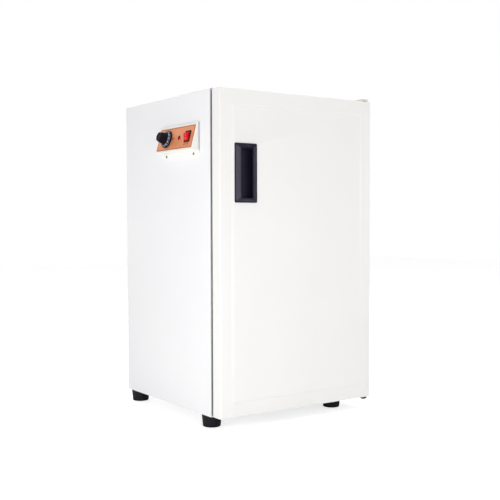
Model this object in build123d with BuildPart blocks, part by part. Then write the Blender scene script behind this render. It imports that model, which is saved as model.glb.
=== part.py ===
from build123d import *
from math import cos, sin, radians, sqrt
import os

# Clinic warming cabinet: an insulated case with wire shelves, a right-hinged door,
# and a control pod on the left side.
# Millimetres. X runs from the pod's side to the hinge side, Y from the door to the back,
# Z up from the floor.
# The origin is on the floor at the middle of the whole outline, pod and knob included.
os.makedirs("parts", exist_ok=True)

# Case and door, outside sizes
case_width = 400.0
case_depth = 371.0
case_height = 664.0
foot_height = 26.5
door_thickness = 28.0
door_gap = 8.0              # between the door and the face frame, filled by the seal
door_top_drop = 2.0         # the door's top edge below the case's top
door_bottom_rise = 1.0      # the door's bottom edge above the case's bottom

# Sheet metal
sheet = 1.2
back_sheet = 1.0
tank_sheet = 0.8
frame_sheet = 1.5
bend_radius = 3.0           # outside radius of a folded edge
back_flange = 14.0          # inward flange of the cover behind
pan_flange = 15.0           # upturned flange of the base pan

# Chamber and what surrounds it
wall_side = 38.0
wall_top = 38.0
wall_bottom = 40.0
wall_back = 44.0
chamber_radius = 8.0
tank_lip = 9.0              # flange of the tank behind the face frame
insulation_gap = 3.0

# Control pod on the left side, sheet steel
pod_length = 153.5
pod_front_setback = 75.5    # from the door's front face
pod_tilt = 14.5             # of the sloped face from vertical, degrees
pod_slope = 58.0            # length of the sloped face, bottom to top
pod_nose_reach = 19.0       # the slope's lower edge from the case's side
pod_nose_drop = 121.0       # the slope's lower edge below the case's top
pod_underside_drop = 3.5    # the underside falls this much towards the case
pod_flange_drop = 13.5      # the flange's lower edge below the slope's lower edge
pod_wall = 1.2
pod_corner = 3.0
pod_gap = 1.0               # the pod's edges stand this far off the case, flange apart
plate_length = 145.3
plate_width = 48.4
plate_sheet = 0.8
plate_corner = 2.5

# Knob and thermostat, placed on the plate from its middle (u towards the door, v up the slope)
knob_u = -35.0
knob_v = 0.0
skirt_radius = 19.2
skirt_edge = 3.5            # height of the skirt's upright rim
skirt_height = 8.2          # where the numbered cone meets the grip, above the plate
grip_radius = 12.0
grip_top_radius = 9.8
grip_round = 1.6
knob_height = 22.7
knob_gap = 0.5              # between the skirt and the plate
shaft_radius = 3.0
shaft_flat = 0.8            # depth of the flat that keys the knob
shaft_top = 18.0            # end of the shaft above the plate
shaft_depth = 14.0          # end of the shaft inside the thermostat
running_clearance = 0.05

# Sides of small round pieces
head_sides = 10
thread_sides = 6
nut_sides = 6
tube_sides = 6
bulb_sides = 12
head_taper = 30.0
countersink = 45.0
bush_radius = 5.0
bush_height = 2.6
thermostat_length = 40.0
thermostat_width = 32.0
thermostat_depth = 26.0
thermostat_screw_offset = 12.0

# Pilot lamp
lamp_u = 15.5
lens_radius = 4.7
lens_height = 2.2
lamp_neck_radius = 3.9
lamp_depth = 20.0

# Rocker switch
switch_u = 50.0
bezel_width = 21.0
bezel_length = 25.0
bezel_height = 2.0
switch_body_width = 18.8
switch_body_length = 22.4
switch_depth = 13.0
rocker_width = 16.0
rocker_clearance = 0.25
rocker_pivot = 0.8          # height of the rocker's axis above the slope
rocker_arc = 9.3            # radius of the rocker's ends about its axis
rocker_crown = 4.7          # the rocker's flat face above its axis
rocker_throw = 30.0         # whole travel, degrees
rocker_pin_radius = 1.4

# Handle
handle_left = 34.0          # from the door's left edge
handle_bottom = 433.8       # above the case's bottom
handle_width = 54.5
handle_height = 119.3
handle_corner = 2.5
handle_rim = 1.0             # how far the rim stands out of the field
handle_land = 2.6           # flat of the rim
handle_body_inset = 1.5     # the body behind the rim is this much smaller all round
funnel_left = 18.5
funnel_right = 3.6
funnel_end = 10.5
funnel_depth = 6.0
pocket_depth = 19.0
handle_wall = 1.6
finger_lip = 3.0            # lip left in front of the undercut

# Door
field_inset = 30.0
field_rise = 1.2
field_slope = 2.5
door_radius = 4.0
liner_sheet = 1.5
liner_field_inset = 34.0
liner_field_depth = 5.0
gasket_base_inset = 0.5
gasket_face_inset = 3.2
gasket_width = 17.0
gasket_relief = 0.9         # left free between the seal's face and the face frame
magnet_width = 8.0
magnet_thickness = 3.0
magnet_cover = 1.0

# Hinges
hinge_edge = 8.0            # the axis from the case's right side
hinge_radius = 3.0
hinge_engagement = 14.0
bush_outer = 5.2
bush_flange_radius = 6.5
bush_flange = 1.0
bracket_width = 11.0
bracket_side = 2.5          # from the case's right side
upper_bracket_sheet = 2.5
lower_bracket_sheet = 4.0
bracket_nose = 6.0          # from the door's front face
bracket_grip = 34.0         # how far a bracket reaches over the case
cap_wall = 1.2
cap_height = 4.8
bracket_screw_radius = 2.0

# Feet
foot_radius = 21.0
foot_bottom_radius = 18.6
foot_edge = 2.0
foot_left_inset = 22.5
foot_right_front_inset = 55.3
foot_front_setback = 69.3   # from the door's front face
foot_back_inset = 21.5
foot_bore = 7.0
foot_seat = 8.0             # rubber left above the screw's head
foot_screw_radius = 2.5

# Shelves
shelf_count = 3
shelf_rod = 3.0
shelf_wire = 1.6
shelf_wires = 11
shelf_corner = 12.0
shelf_side_clearance = 6.0
shelf_front_clearance = 10.0
shelf_back_clearance = 14.0
upright_width = 18.0
upright_sheet = 2.0
upright_front = 40.0        # from the face frame to the front pair's middle
upright_back = 40.0         # from the chamber's back wall to the rear pair's middle
upright_bottom = 62.0       # above the chamber's floor
upright_top = 30.0          # below the chamber's ceiling
upright_pitch = 68.0
upright_slot_width = 8.0
upright_slot_height = 14.0
runner_leg = 13.0
runner_sheet = 1.5
runner_height = 15.0

# Heater under its slotted cover
heater_radius = 4.0
heater_height = 17.0        # middle of the tube above the chamber's floor
heater_runs = 4
heater_pitch = 66.0
heater_bend = 26.0
heater_front = 45.0
heater_back = 50.0
heater_tail = 14.0          # cold end behind the tank
heater_clip_sheet = 1.5
heater_clip_margin = 12.0
cover_height = 36.0
cover_side = 8.0
cover_front = 6.0
cover_back = 8.0
slot_columns = 2
slot_rows = 9
slot_length = 104.0
slot_width = 7.0

# Sensor in the chamber
capillary_radius = 1.0
capillary_stand = 10.0      # from the tank's wall to the bulb's middle
capillary_bend = 5.0
capillary_drop = 9.0        # bare capillary above the bulb
bulb_radius = 3.2
bulb_length = 50.0
grommet_radius = 5.0
grommet_flange = 7.0
clip_height = 8.0
clip_sheet = 1.0

# Power inlet and wiring, low at the back
inlet_side = 75.0           # from the case's left side
inlet_height = 62.0         # above the case's bottom
inlet_body_width = 27.4
inlet_body_height = 20.0
inlet_body_depth = 24.0
inlet_flange_width = 50.0
inlet_flange_height = 25.0
inlet_flange_sheet = 2.4
inlet_cavity_width = 24.2
inlet_cavity_height = 16.4
inlet_cavity_depth = 17.0
inlet_screw_spacing = 40.0
pin_width = 2.0
pin_height = 4.0
pin_spacing = 14.0
pin_offset = 2.2
terminal_length = 36.0
terminal_height = 18.0
terminal_depth = 16.0
loom_radius = 2.5
loom_side = 12.0           # from the knob's axis
loom_first_bend = 15.0
loom_bend = 25.0
loom_last_bend = 20.0
loom_channel = 12.0
cutout_radius = 8.0
cutout_height = 7.0

# Small fasteners
pan_radius = 3.4
pan_height = 1.8
pan_thread = 1.7
screw_end = 1.5             # thread that stands past the last sheet
flush_radius = 3.8
pod_screw_spacing = 113.0
pod_screw_radius = 2.8
pod_screw_shift = 1.5       # both screws sit this much towards the back
pod_screw_rise = 6.6        # above the flange's lower edge
back_screw_inset = 8.0
back_screw_end = 30.0

# Controls, details
window_length = 140.0       # opening in the case behind the pod
window_height = 48.0
pod_fold = 1.6
pod_top_fall = 1.6          # the pod's top rises this much towards the case
thermostat_thread = 6.0
thermostat_screw_head = 1.9
thermostat_corner = 2.0
shaft_flat_length = 10.0
shaft_end_gap = 0.5
skirt_inner_radius = 12.3
knob_recess_outer = 16.2
knob_recess_inner = 7.6
knob_recess_depth = 3.0
rocker_skirt = 1.2
rocker_foot = 3.0
rocker_drop = 3.6
rocker_pin_length = 0.8
bezel_corner = 1.0
bezel_chamfer = 0.8
switch_floor = 1.4
terminal_tab_pitch = 7.0
tab_width = 4.8
tab_sheet = 0.8
tab_length = 8.0
lens_neck = 2.4
lens_crown = 0.8            # radius of the lens's flat middle
lamp_nut_radius = 5.4
lamp_nut = 2.4

# Inlet, details
pin_recess = 3.0            # the pins end this far inside the socket's mouth
pin_length = 24.0
inlet_corner = 6.0
inlet_cavity_chamfer = 4.0
back_margin = 1.0

# Chamber fittings, details
heater_clip_setback = 34.0
cover_bend = 3.0
slot_gap = 22.0
slot_pitch = 29.0
capillary_offset = 6.0
capillary_side = 8.0        # from the knob's axis
capillary_lead = 7.0
bulb_round = 1.2
clip_share = 0.2
clip_foot = 12.0
grommet_lip = 1.2
cutout_side = 40.0
cutout_rise = 22.0
cutout_ears = 26.0
cutout_ear_width = 9.0
cutout_ear_sheet = 1.0
terminal_side = 50.0
terminal_rise = 30.0
terminal_ways = 3
terminal_hole = 2.0
terminal_hole_depth = 9.0
loom_lead = 14.0
pocket_drop = 50.0
service_drop = 26.0
service_rise = 60.0
service_margin = 24.0
shelf_first = 172.0         # top of the lowest pair of runners above the chamber's floor
shelf_pitch = 136.0
shelf_brace = 70.0
runner_end = 14.0

# Feet, hinges and door, details
foot_screw_head_radius = 4.6
foot_screw_head_height = 2.6
bracket_screw_end = 9.0     # from the bracket's end to the first screw
bracket_screw_pitch = 15.0
bracket_round = 3.0
rivet_head = 1.0
lower_head = 2.0
rivet_radius = 4.6
pin_tip = 1.0
pin_gap = 1.0
bush_floor = 1.5
washer_radius = 5.4
cap_clearance = 0.3
cap_round = 1.5
cap_edge = 1.0
handle_rim_round = 0.7
door_corner = 2.0
liner_corner = 10.0

# Places worked out from the sizes
tilt = radians(pod_tilt)
pod_rise = pod_slope * cos(tilt)
pod_top_reach = pod_nose_reach - pod_slope * sin(tilt)
slope_mid_reach = (pod_nose_reach + pod_top_reach) / 2
knob_reach = slope_mid_reach + (knob_height + plate_sheet) * cos(tilt) + grip_top_radius * sin(tilt)
whole_depth = door_thickness + door_gap + case_depth

x_left = (knob_reach - case_width) / 2
x_right = x_left + case_width
x_mid = (x_left + x_right) / 2
y_door = -whole_depth / 2
y_gasket = y_door + door_thickness
y_case = y_gasket + door_gap
y_back = y_case + case_depth
z_base = foot_height
z_top = z_base + case_height
z_mid = (z_base + z_top) / 2

tank_left = x_left + wall_side
tank_right = x_right - wall_side
tank_front = y_case + frame_sheet
tank_back = y_back - wall_back
tank_floor = z_base + wall_bottom
tank_ceiling = z_top - wall_top
chamber_width = tank_right - tank_left
chamber_height = tank_ceiling - tank_floor
chamber_x = (tank_left + tank_right) / 2
chamber_z = (tank_floor + tank_ceiling) / 2

hinge_x = x_right - hinge_edge
hinge_y = y_door + door_thickness / 2
door_bottom = z_base + door_bottom_rise
door_top = z_top - door_top_drop
door_height = door_top - door_bottom
door_z = (door_bottom + door_top) / 2

pod_y = y_door + pod_front_setback + pod_length / 2
nose_z = z_top - pod_nose_drop
slope_z = nose_z + pod_rise / 2
slope = Plane(
    origin=(x_left - slope_mid_reach, pod_y, slope_z),
    x_dir=(0, -1, 0),
    z_dir=(-cos(tilt), 0, sin(tilt)),
)


def block(x0, x1, y0, y1, z0, z1, mode=Mode.ADD):
    """A box given by its six sides."""
    with Locations(((x0 + x1) / 2, (y0 + y1) / 2, (z0 + z1) / 2)):
        Box(x1 - x0, y1 - y0, z1 - z0, mode=mode)


def front_plane(y):
    """An upright plane at depth y, seen from the door: sketch X is X and sketch Y is Z."""
    return Plane.XZ.offset(-y)


def finish(part, name):
    """Names a finished piece and writes it."""
    part.label = name
    export_step(part, f"parts/{name}.step")


def side_of(plane):
    """The upright plane through a plane's own X and normal, where half outlines are drawn to be turned."""
    return Plane(origin=plane.origin, x_dir=plane.x_dir, z_dir=-plane.y_dir)


def normal_of(plane):
    """The axis through a plane's origin, along its normal."""
    return Axis(plane.origin, plane.z_dir)


def slope_at(u, v, height):
    """A plane parallel to the pod's sloped face, with its origin over the point (u, v)."""
    return Plane(origin=slope.from_local_coords((u, v, height)), x_dir=slope.x_dir, z_dir=slope.z_dir)


def turned(plane, points):
    """A solid turned about a plane's normal from a half outline of (radius, height) points."""
    with BuildPart() as solid:
        with BuildSketch(side_of(plane)) as half:
            with BuildLine():
                Polyline(*points, close=True)
            make_face()
        revolve(half.sketch, axis=normal_of(plane))
    return solid.part


def pan_screw(plane, length, head=pan_radius, height=pan_height, thread=pan_thread):
    """A screw whose sloping head sits on the plane, with a thread that goes down through it."""
    with BuildPart() as screw:
        with BuildSketch(plane) as head_outline:
            RegularPolygon(head, head_sides)
        extrude(head_outline.sketch, amount=height, taper=head_taper)
        with BuildSketch(plane) as thread_outline:
            RegularPolygon(thread, thread_sides)
        extrude(thread_outline.sketch, amount=-length)
    return screw.part


def flush_screw(plane, length, head=flush_radius, thread=bracket_screw_radius):
    """A countersunk screw whose head ends at the plane."""
    with BuildPart() as screw:
        with BuildSketch(plane) as head_outline:
            RegularPolygon(head, head_sides)
        extrude(head_outline.sketch, amount=thread - head, taper=countersink)
        with BuildSketch(plane) as thread_outline:
            RegularPolygon(thread, thread_sides)
        extrude(thread_outline.sketch, amount=-length)
    return screw.part


# Screws, which also cut their own holes in the sheets that they join
flange_bottom = nose_z - pod_flange_drop
pod_screw_y = pod_y + pod_screw_shift
pod_screw_places = [
    Plane(
        origin=(x_left - pod_wall, y, flange_bottom + pod_screw_rise),
        x_dir=(0, -1, 0),
        z_dir=(-1, 0, 0),
    )
    for y in (pod_screw_y - pod_screw_spacing / 2, pod_screw_y + pod_screw_spacing / 2)
]
with BuildPart() as pod_screws:
    for place in pod_screw_places:
        add(pan_screw(place, pod_wall + sheet + screw_end, head=pod_screw_radius))
finish(pod_screws.part, "pod_screws")

back_screw_places = [
    Plane(origin=(x, y_back, z), x_dir=(-1, 0, 0), z_dir=(0, 1, 0))
    for x in (x_left + back_screw_inset, x_right - back_screw_inset)
    for z in (z_base + back_screw_end, z_mid, z_top - back_screw_end)
]
with BuildPart() as back_screws:
    for place in back_screw_places:
        add(pan_screw(place, back_sheet + sheet + screw_end))
finish(back_screws.part, "back_screws")

bracket_x0 = x_right - bracket_side - bracket_width
bracket_x1 = x_right - bracket_side
bracket_y0 = y_door + bracket_nose
bracket_y1 = y_case + bracket_grip
bracket_x = (bracket_x0 + bracket_x1) / 2
bracket_screw_ys = (bracket_y1 - bracket_screw_end, bracket_y1 - bracket_screw_end - bracket_screw_pitch)
with BuildPart() as hinge_screws:
    for y in bracket_screw_ys:
        above = Plane((bracket_x, y, z_top + upper_bracket_sheet), x_dir=(1, 0, 0), z_dir=(0, 0, 1))
        below = Plane((bracket_x, y, z_base - lower_bracket_sheet), x_dir=(1, 0, 0), z_dir=(0, 0, -1))
        add(flush_screw(above, upper_bracket_sheet + sheet + screw_end))
        add(flush_screw(below, lower_bracket_sheet + sheet + screw_end))
finish(hinge_screws.part, "hinge_screws")

foot_places = {
    "foot_front_left": (x_left + foot_left_inset, y_door + foot_front_setback),
    "foot_front_right": (x_right - foot_right_front_inset, y_door + foot_front_setback),
    "foot_rear_left": (x_left + foot_left_inset, y_back - foot_back_inset),
    "foot_rear_right": (x_right - foot_left_inset, y_back - foot_back_inset),
}
foot_screw_head = z_base - foot_seat
with BuildPart() as foot_screws:
    for x, y in foot_places.values():
        place = Plane(origin=(x, y, foot_screw_head), x_dir=(1, 0, 0), z_dir=(0, 0, -1))
        length = foot_seat + sheet + screw_end
        add(pan_screw(place, length, foot_screw_head_radius, foot_screw_head_height, foot_screw_radius))
finish(foot_screws.part, "foot_screws")


# Outer cover: left side, top and right side folded from one sheet, with a flange turned in behind
with BuildPart() as outer_case:
    with BuildSketch(front_plane(y_case)):
        with Locations((x_mid, z_mid)):
            Rectangle(case_width, case_height)
        fillet(vertices().group_by(Axis.Y)[-1], bend_radius)
    extrude(amount=-(case_depth - back_sheet))
    with BuildSketch(front_plane(y_case)):
        with Locations((x_mid, z_mid - sheet)):
            Rectangle(case_width - 2 * sheet, case_height)
        fillet(vertices().group_by(Axis.Y)[-1], bend_radius - sheet)
    extrude(amount=-(case_depth - back_sheet - sheet), mode=Mode.SUBTRACT)
    with BuildSketch(front_plane(y_back)):
        with Locations((x_mid, z_mid - back_flange)):
            Rectangle(case_width - 2 * back_flange, case_height)
    extrude(amount=back_sheet + 2 * sheet, mode=Mode.SUBTRACT)
    # Window behind the pod for the controls
    with BuildSketch(Plane.YZ.offset(x_left)):
        with Locations((pod_y, slope_z)):
            Rectangle(window_length, window_height)
    extrude(amount=sheet, mode=Mode.SUBTRACT)
    add(pod_screws.part, mode=Mode.SUBTRACT)
    add(back_screws.part, mode=Mode.SUBTRACT)
    add(hinge_screws.part, mode=Mode.SUBTRACT)
finish(outer_case.part, "outer_case")

# Face frame round the chamber's mouth
with BuildPart() as front_frame:
    with BuildSketch(front_plane(y_case)):
        with Locations((x_mid, z_mid - sheet / 2)):
            Rectangle(case_width - 2 * sheet, case_height - sheet)
        fillet(vertices().group_by(Axis.Y)[-1], bend_radius - sheet)
        with Locations((chamber_x, chamber_z)):
            RectangleRounded(
                chamber_width - 2 * tank_sheet,
                chamber_height - 2 * tank_sheet,
                chamber_radius - tank_sheet,
                mode=Mode.SUBTRACT,
            )
    extrude(amount=-frame_sheet)
finish(front_frame.part, "front_frame")

# Bottom sheet with upturned sides
with BuildPart() as base_pan:
    pan_front = y_case + frame_sheet
    pan_back = y_back - back_sheet - sheet
    with BuildSketch(front_plane(pan_front)):
        with Locations((x_mid, z_base + pan_flange / 2)):
            Rectangle(case_width - 2 * sheet, pan_flange)
        with Locations((x_mid, z_base + sheet + pan_flange / 2)):
            Rectangle(case_width - 4 * sheet, pan_flange, mode=Mode.SUBTRACT)
    extrude(amount=-(pan_back - pan_front))
    add(foot_screws.part, mode=Mode.SUBTRACT)
    add(hinge_screws.part, mode=Mode.SUBTRACT)
finish(base_pan.part, "base_pan")


# Power inlet low on the back: standard three-pin socket with screwed ears
inlet_x = x_left + inlet_side
inlet_z = z_base + inlet_height
inlet_plane = Plane(origin=(inlet_x, y_back, inlet_z), x_dir=(-1, 0, 0), z_dir=(0, 1, 0))
pin_places = [(-pin_spacing / 2, -pin_offset), (pin_spacing / 2, -pin_offset), (0, pin_offset)]
with BuildPart() as inlet_pins:
    with BuildSketch(inlet_plane.offset(inlet_flange_sheet - pin_recess)):
        with Locations(*pin_places):
            Rectangle(pin_width, pin_height)
    extrude(amount=-(pin_length))
finish(inlet_pins.part, "inlet_pins")

inlet_screw_places = [
    Plane(
        origin=inlet_plane.from_local_coords((side * inlet_screw_spacing / 2, 0, inlet_flange_sheet)),
        x_dir=inlet_plane.x_dir,
        z_dir=inlet_plane.z_dir,
    )
    for side in (-1, 1)
]
with BuildPart() as inlet_screws:
    for place in inlet_screw_places:
        add(pan_screw(place, inlet_flange_sheet + back_sheet + screw_end))
finish(inlet_screws.part, "inlet_screws")

with BuildPart() as power_inlet:
    with BuildSketch(inlet_plane):
        RectangleRounded(inlet_flange_width, inlet_flange_height, inlet_corner)
    extrude(amount=inlet_flange_sheet)
    with BuildSketch(inlet_plane):
        Rectangle(inlet_body_width, inlet_body_height)
    extrude(amount=-inlet_body_depth)
    with BuildSketch(inlet_plane.offset(inlet_flange_sheet)):
        Rectangle(inlet_cavity_width, inlet_cavity_height)
        chamfer(vertices().group_by(Axis.Y)[-1], inlet_cavity_chamfer)
    extrude(amount=-inlet_cavity_depth, mode=Mode.SUBTRACT)
    add(inlet_pins.part, mode=Mode.SUBTRACT)
    add(inlet_screws.part, mode=Mode.SUBTRACT)
finish(power_inlet.part, "power_inlet")

# Back panel
with BuildPart() as back_panel:
    with BuildSketch(front_plane(y_back)):
        with Locations((x_mid, z_mid)):
            Rectangle(case_width - 2 * back_margin, case_height - 2 * back_margin)
        with Locations((inlet_x, inlet_z)):
            Rectangle(inlet_body_width, inlet_body_height, mode=Mode.SUBTRACT)
    extrude(amount=back_sheet)
    add(back_screws.part, mode=Mode.SUBTRACT)
    add(inlet_screws.part, mode=Mode.SUBTRACT)
finish(back_panel.part, "back_panel")


# Heater: one tube bent into parallel runs over the chamber's floor, its cold ends through the back wall
chamber_left = tank_left + tank_sheet
chamber_right = tank_right - tank_sheet
chamber_floor = tank_floor + tank_sheet
chamber_ceiling = tank_ceiling - tank_sheet
chamber_back = tank_back - tank_sheet
heater_z = chamber_floor + heater_height
run_xs = [chamber_x + (i - (heater_runs - 1) / 2) * heater_pitch for i in range(heater_runs)]
front_y = tank_front + heater_front
back_y = chamber_back - heater_back
tail_y = tank_back + heater_tail
heater_points = [(run_xs[0], tail_y, heater_z)]
for i, (x, next_x) in enumerate(zip(run_xs, run_xs[1:])):
    turn_y = front_y if i % 2 == 0 else back_y
    heater_points += [(x, turn_y, heater_z), (next_x, turn_y, heater_z)]
heater_points.append((run_xs[-1], tail_y, heater_z))
with BuildPart() as heater_element:
    with BuildLine() as heater_path:
        FilletPolyline(*heater_points, radius=heater_bend)
    with BuildSketch(front_plane(tail_y)):
        with Locations((run_xs[0], heater_z)):
            RegularPolygon(heater_radius, tube_sides)
    sweep(path=heater_path.wires()[0])
finish(heater_element.part, "heater_element")

# Two combs that hold the runs off the floor
with BuildPart() as heater_clips:
    for y in (front_y + heater_clip_setback, back_y - heater_clip_setback):
        with BuildSketch(front_plane(y)):
            with Locations((chamber_x, chamber_floor + heater_height / 2)):
                Rectangle(run_xs[-1] - run_xs[0] + 2 * heater_clip_margin, heater_height)
            for x in run_xs:
                with Locations((x, heater_z)):
                    RegularPolygon(heater_radius, tube_sides, mode=Mode.SUBTRACT)
        extrude(amount=-heater_clip_sheet)
finish(heater_clips.part, "heater_clips")

# Slotted cover over the heater, the floor of the lowest bay
cover_width = chamber_right - chamber_left - 2 * cover_side
cover_y0 = tank_front + cover_front
cover_y1 = chamber_back - cover_back
with BuildPart() as heater_cover:
    with BuildSketch(front_plane(cover_y0)):
        with Locations((chamber_x, chamber_floor + cover_height / 2)):
            Rectangle(cover_width, cover_height)
        fillet(vertices().group_by(Axis.Y)[-1], cover_bend)
        with Locations((chamber_x, chamber_floor + (cover_height - sheet) / 2)):
            Rectangle(cover_width - 2 * sheet, cover_height - sheet, mode=Mode.SUBTRACT)
    extrude(amount=-(cover_y1 - cover_y0))
    with BuildSketch(Plane.XY.offset(chamber_floor + cover_height)):
        with Locations((chamber_x, (cover_y0 + cover_y1) / 2)):
            with GridLocations(slot_length + slot_gap, slot_pitch, slot_columns, slot_rows):
                Rectangle(slot_length, slot_width)
    extrude(amount=-sheet, mode=Mode.SUBTRACT)
finish(heater_cover.part, "heater_cover")


# Thermostat behind the slope: body, threaded bush round the shaft, and a keyed shaft
thermostat_screw_places = [
    slope_at(knob_u + side * thermostat_screw_offset, knob_v, plate_sheet) for side in (-1, 1)
]
with BuildPart() as thermostat_screws:
    for place in thermostat_screw_places:
        add(pan_screw(place, plate_sheet + pod_wall + thermostat_thread, height=thermostat_screw_head))
finish(thermostat_screws.part, "thermostat_screws")

shaft_end = plate_sheet + shaft_top
with BuildPart() as thermostat_shaft:
    with BuildSketch(slope_at(knob_u, knob_v, -shaft_depth)):
        Circle(shaft_radius)
    extrude(amount=shaft_depth + shaft_end)
    with BuildSketch(slope_at(knob_u, knob_v, shaft_end)):
        with Locations((0, shaft_radius)):
            Rectangle(2 * shaft_radius, 2 * shaft_flat)
    extrude(amount=-shaft_flat_length, mode=Mode.SUBTRACT)
finish(thermostat_shaft.part, "thermostat_shaft")

with BuildPart() as thermostat_body:
    with BuildSketch(slope_at(knob_u, knob_v, -pod_wall)):
        Rectangle(thermostat_length, thermostat_width)
    extrude(amount=-thermostat_depth)
    chamfer(edges().filter_by(Axis(slope.origin, slope.z_dir)), thermostat_corner)
    with BuildSketch(slope_at(knob_u, knob_v, -pod_wall)):
        Circle(bush_radius)
    extrude(amount=pod_wall + bush_height)
    with BuildSketch(slope_at(knob_u, knob_v, bush_height)):
        Circle(shaft_radius + running_clearance)
    extrude(amount=-(bush_height + shaft_depth + shaft_end_gap), mode=Mode.SUBTRACT)
    add(thermostat_screws.part, mode=Mode.SUBTRACT)
finish(thermostat_body.part, "thermostat_body")

# Knob: numbered cone on an upright rim, hollow below over the screws, and a tapered grip
knob_base = plate_sheet + knob_gap
knob_top = plate_sheet + knob_height
skirt_top = plate_sheet + skirt_height
knob_plane = slope_at(knob_u, knob_v, 0)
with BuildPart() as knob:
    with BuildSketch(side_of(knob_plane)):
        with BuildLine():
            Polyline(
                (0, knob_base),
                (skirt_radius, knob_base),
                (skirt_radius, knob_base + skirt_edge),
                (skirt_inner_radius, skirt_top),
                (grip_radius, skirt_top),
                (grip_top_radius, knob_top),
                (0, knob_top),
                close=True,
            )
        make_face()
        chamfer(vertices().sort_by_distance((grip_top_radius, knob_top))[0], grip_round)
    revolve(axis=normal_of(knob_plane))
    with BuildSketch(slope_at(knob_u, knob_v, knob_base)):
        Circle(knob_recess_outer)
        Circle(knob_recess_inner, mode=Mode.SUBTRACT)
    extrude(amount=knob_recess_depth, mode=Mode.SUBTRACT)
    with BuildSketch(slope_at(knob_u, knob_v, knob_base)):
        Circle(bush_radius + knob_gap)
    extrude(amount=bush_height + knob_gap - knob_base, mode=Mode.SUBTRACT)
    add(thermostat_shaft.part, mode=Mode.SUBTRACT)
finish(knob.part, "knob")

# Rocker switch: frame and body in one moulding, and the rocker on two pins
bezel_top = plate_sheet + bezel_height
switch_plane = slope_at(switch_u, 0, 0)
rocker_side = Plane(
    origin=switch_plane.from_local_coords((0, 0, rocker_pivot)),
    x_dir=switch_plane.y_dir,
    z_dir=switch_plane.x_dir,
)
rocker_rest = Plane(
    origin=rocker_side.origin,
    x_dir=rocker_side.x_dir.rotate(Axis((0, 0, 0), rocker_side.z_dir), rocker_throw / 2),
    z_dir=rocker_side.z_dir,
)
well_length = 2 * (rocker_arc + rocker_clearance)
well_width = rocker_width + 2 * rocker_clearance
with BuildPart() as rocker:
    with BuildSketch(rocker_rest.offset(-rocker_width / 2)):
        Circle(rocker_arc)
        with BuildLine():
            Polyline(
                (-rocker_arc, rocker_crown),
                (rocker_arc, rocker_crown),
                (rocker_arc, -rocker_skirt),
                (rocker_foot, -rocker_drop),
                (-rocker_foot, -rocker_drop),
                (-rocker_arc, -rocker_skirt),
                close=True,
            )
        make_face(mode=Mode.INTERSECT)
    extrude(amount=rocker_width)
    with BuildSketch(rocker_side.offset(-rocker_width / 2 - rocker_pin_length)):
        Circle(rocker_pin_radius)
    extrude(amount=rocker_width + 2 * rocker_pin_length)
finish(rocker.part, "rocker")

with BuildPart() as switch_housing:
    with BuildSketch(switch_plane.offset(plate_sheet)):
        Rectangle(bezel_width, bezel_length)
        chamfer(vertices(), bezel_corner)
    extrude(amount=bezel_height)
    chamfer(faces().sort_by(Axis(slope.origin, slope.z_dir))[-1].edges(), bezel_chamfer)
    with BuildSketch(switch_plane.offset(plate_sheet)):
        Rectangle(switch_body_width, switch_body_length)
    extrude(amount=-(plate_sheet + switch_depth))
    with BuildSketch(switch_plane.offset(bezel_top)):
        Rectangle(well_width, well_length)
    extrude(amount=-(bezel_top + switch_depth - switch_floor), mode=Mode.SUBTRACT)
    with BuildSketch(rocker_side.offset(-rocker_width / 2 - rocker_pin_length - rocker_clearance)):
        Circle(rocker_pin_radius + running_clearance)
    extrude(amount=rocker_width + 2 * (rocker_pin_length + rocker_clearance), mode=Mode.SUBTRACT)
    # Spade terminals behind
    with BuildSketch(switch_plane.offset(-switch_depth)):
        with GridLocations(0, terminal_tab_pitch, 1, 3):
            Rectangle(tab_width, tab_sheet)
    extrude(amount=-tab_length)
finish(switch_housing.part, "switch_housing")

# Pilot lamp: domed lens with a neck through the plate, and the lamp behind
lamp_plane = slope_at(lamp_u, 0, plate_sheet)
with BuildPart() as pilot_lens:
    with BuildSketch(side_of(lamp_plane)):
        with BuildLine():
            Polyline(
                (0, lens_height),
                (0, -lens_neck),
                (lamp_neck_radius, -lens_neck),
                (lamp_neck_radius, 0),
                (lens_radius, 0),
                (lens_radius, lens_height),
                close=True,
            )
        make_face()
        chamfer(vertices().sort_by_distance((lens_radius, lens_height))[0], lens_crown)
    revolve(axis=normal_of(lamp_plane))
finish(pilot_lens.part, "pilot_lens")

with BuildPart() as pilot_lamp:
    with BuildSketch(lamp_plane.offset(-lens_neck)):
        Circle(lamp_neck_radius)
    extrude(amount=-(lamp_depth - lens_neck))
    with BuildSketch(lamp_plane.offset(-plate_sheet - pod_wall)):
        RegularPolygon(lamp_nut_radius, nut_sides)
        Circle(lamp_neck_radius, mode=Mode.SUBTRACT)
    extrude(amount=-lamp_nut)
finish(pilot_lamp.part, "pilot_lamp")


def control_openings(mode=Mode.ADD):
    """The openings that the controls pass through, in a sketch on the slope."""
    with Locations((knob_u, knob_v)):
        Circle(bush_radius, mode=mode)
    with Locations((lamp_u, 0)):
        Circle(lamp_neck_radius, mode=mode)
    with Locations((switch_u, 0)):
        Rectangle(switch_body_width, switch_body_length, mode=mode)


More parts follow.
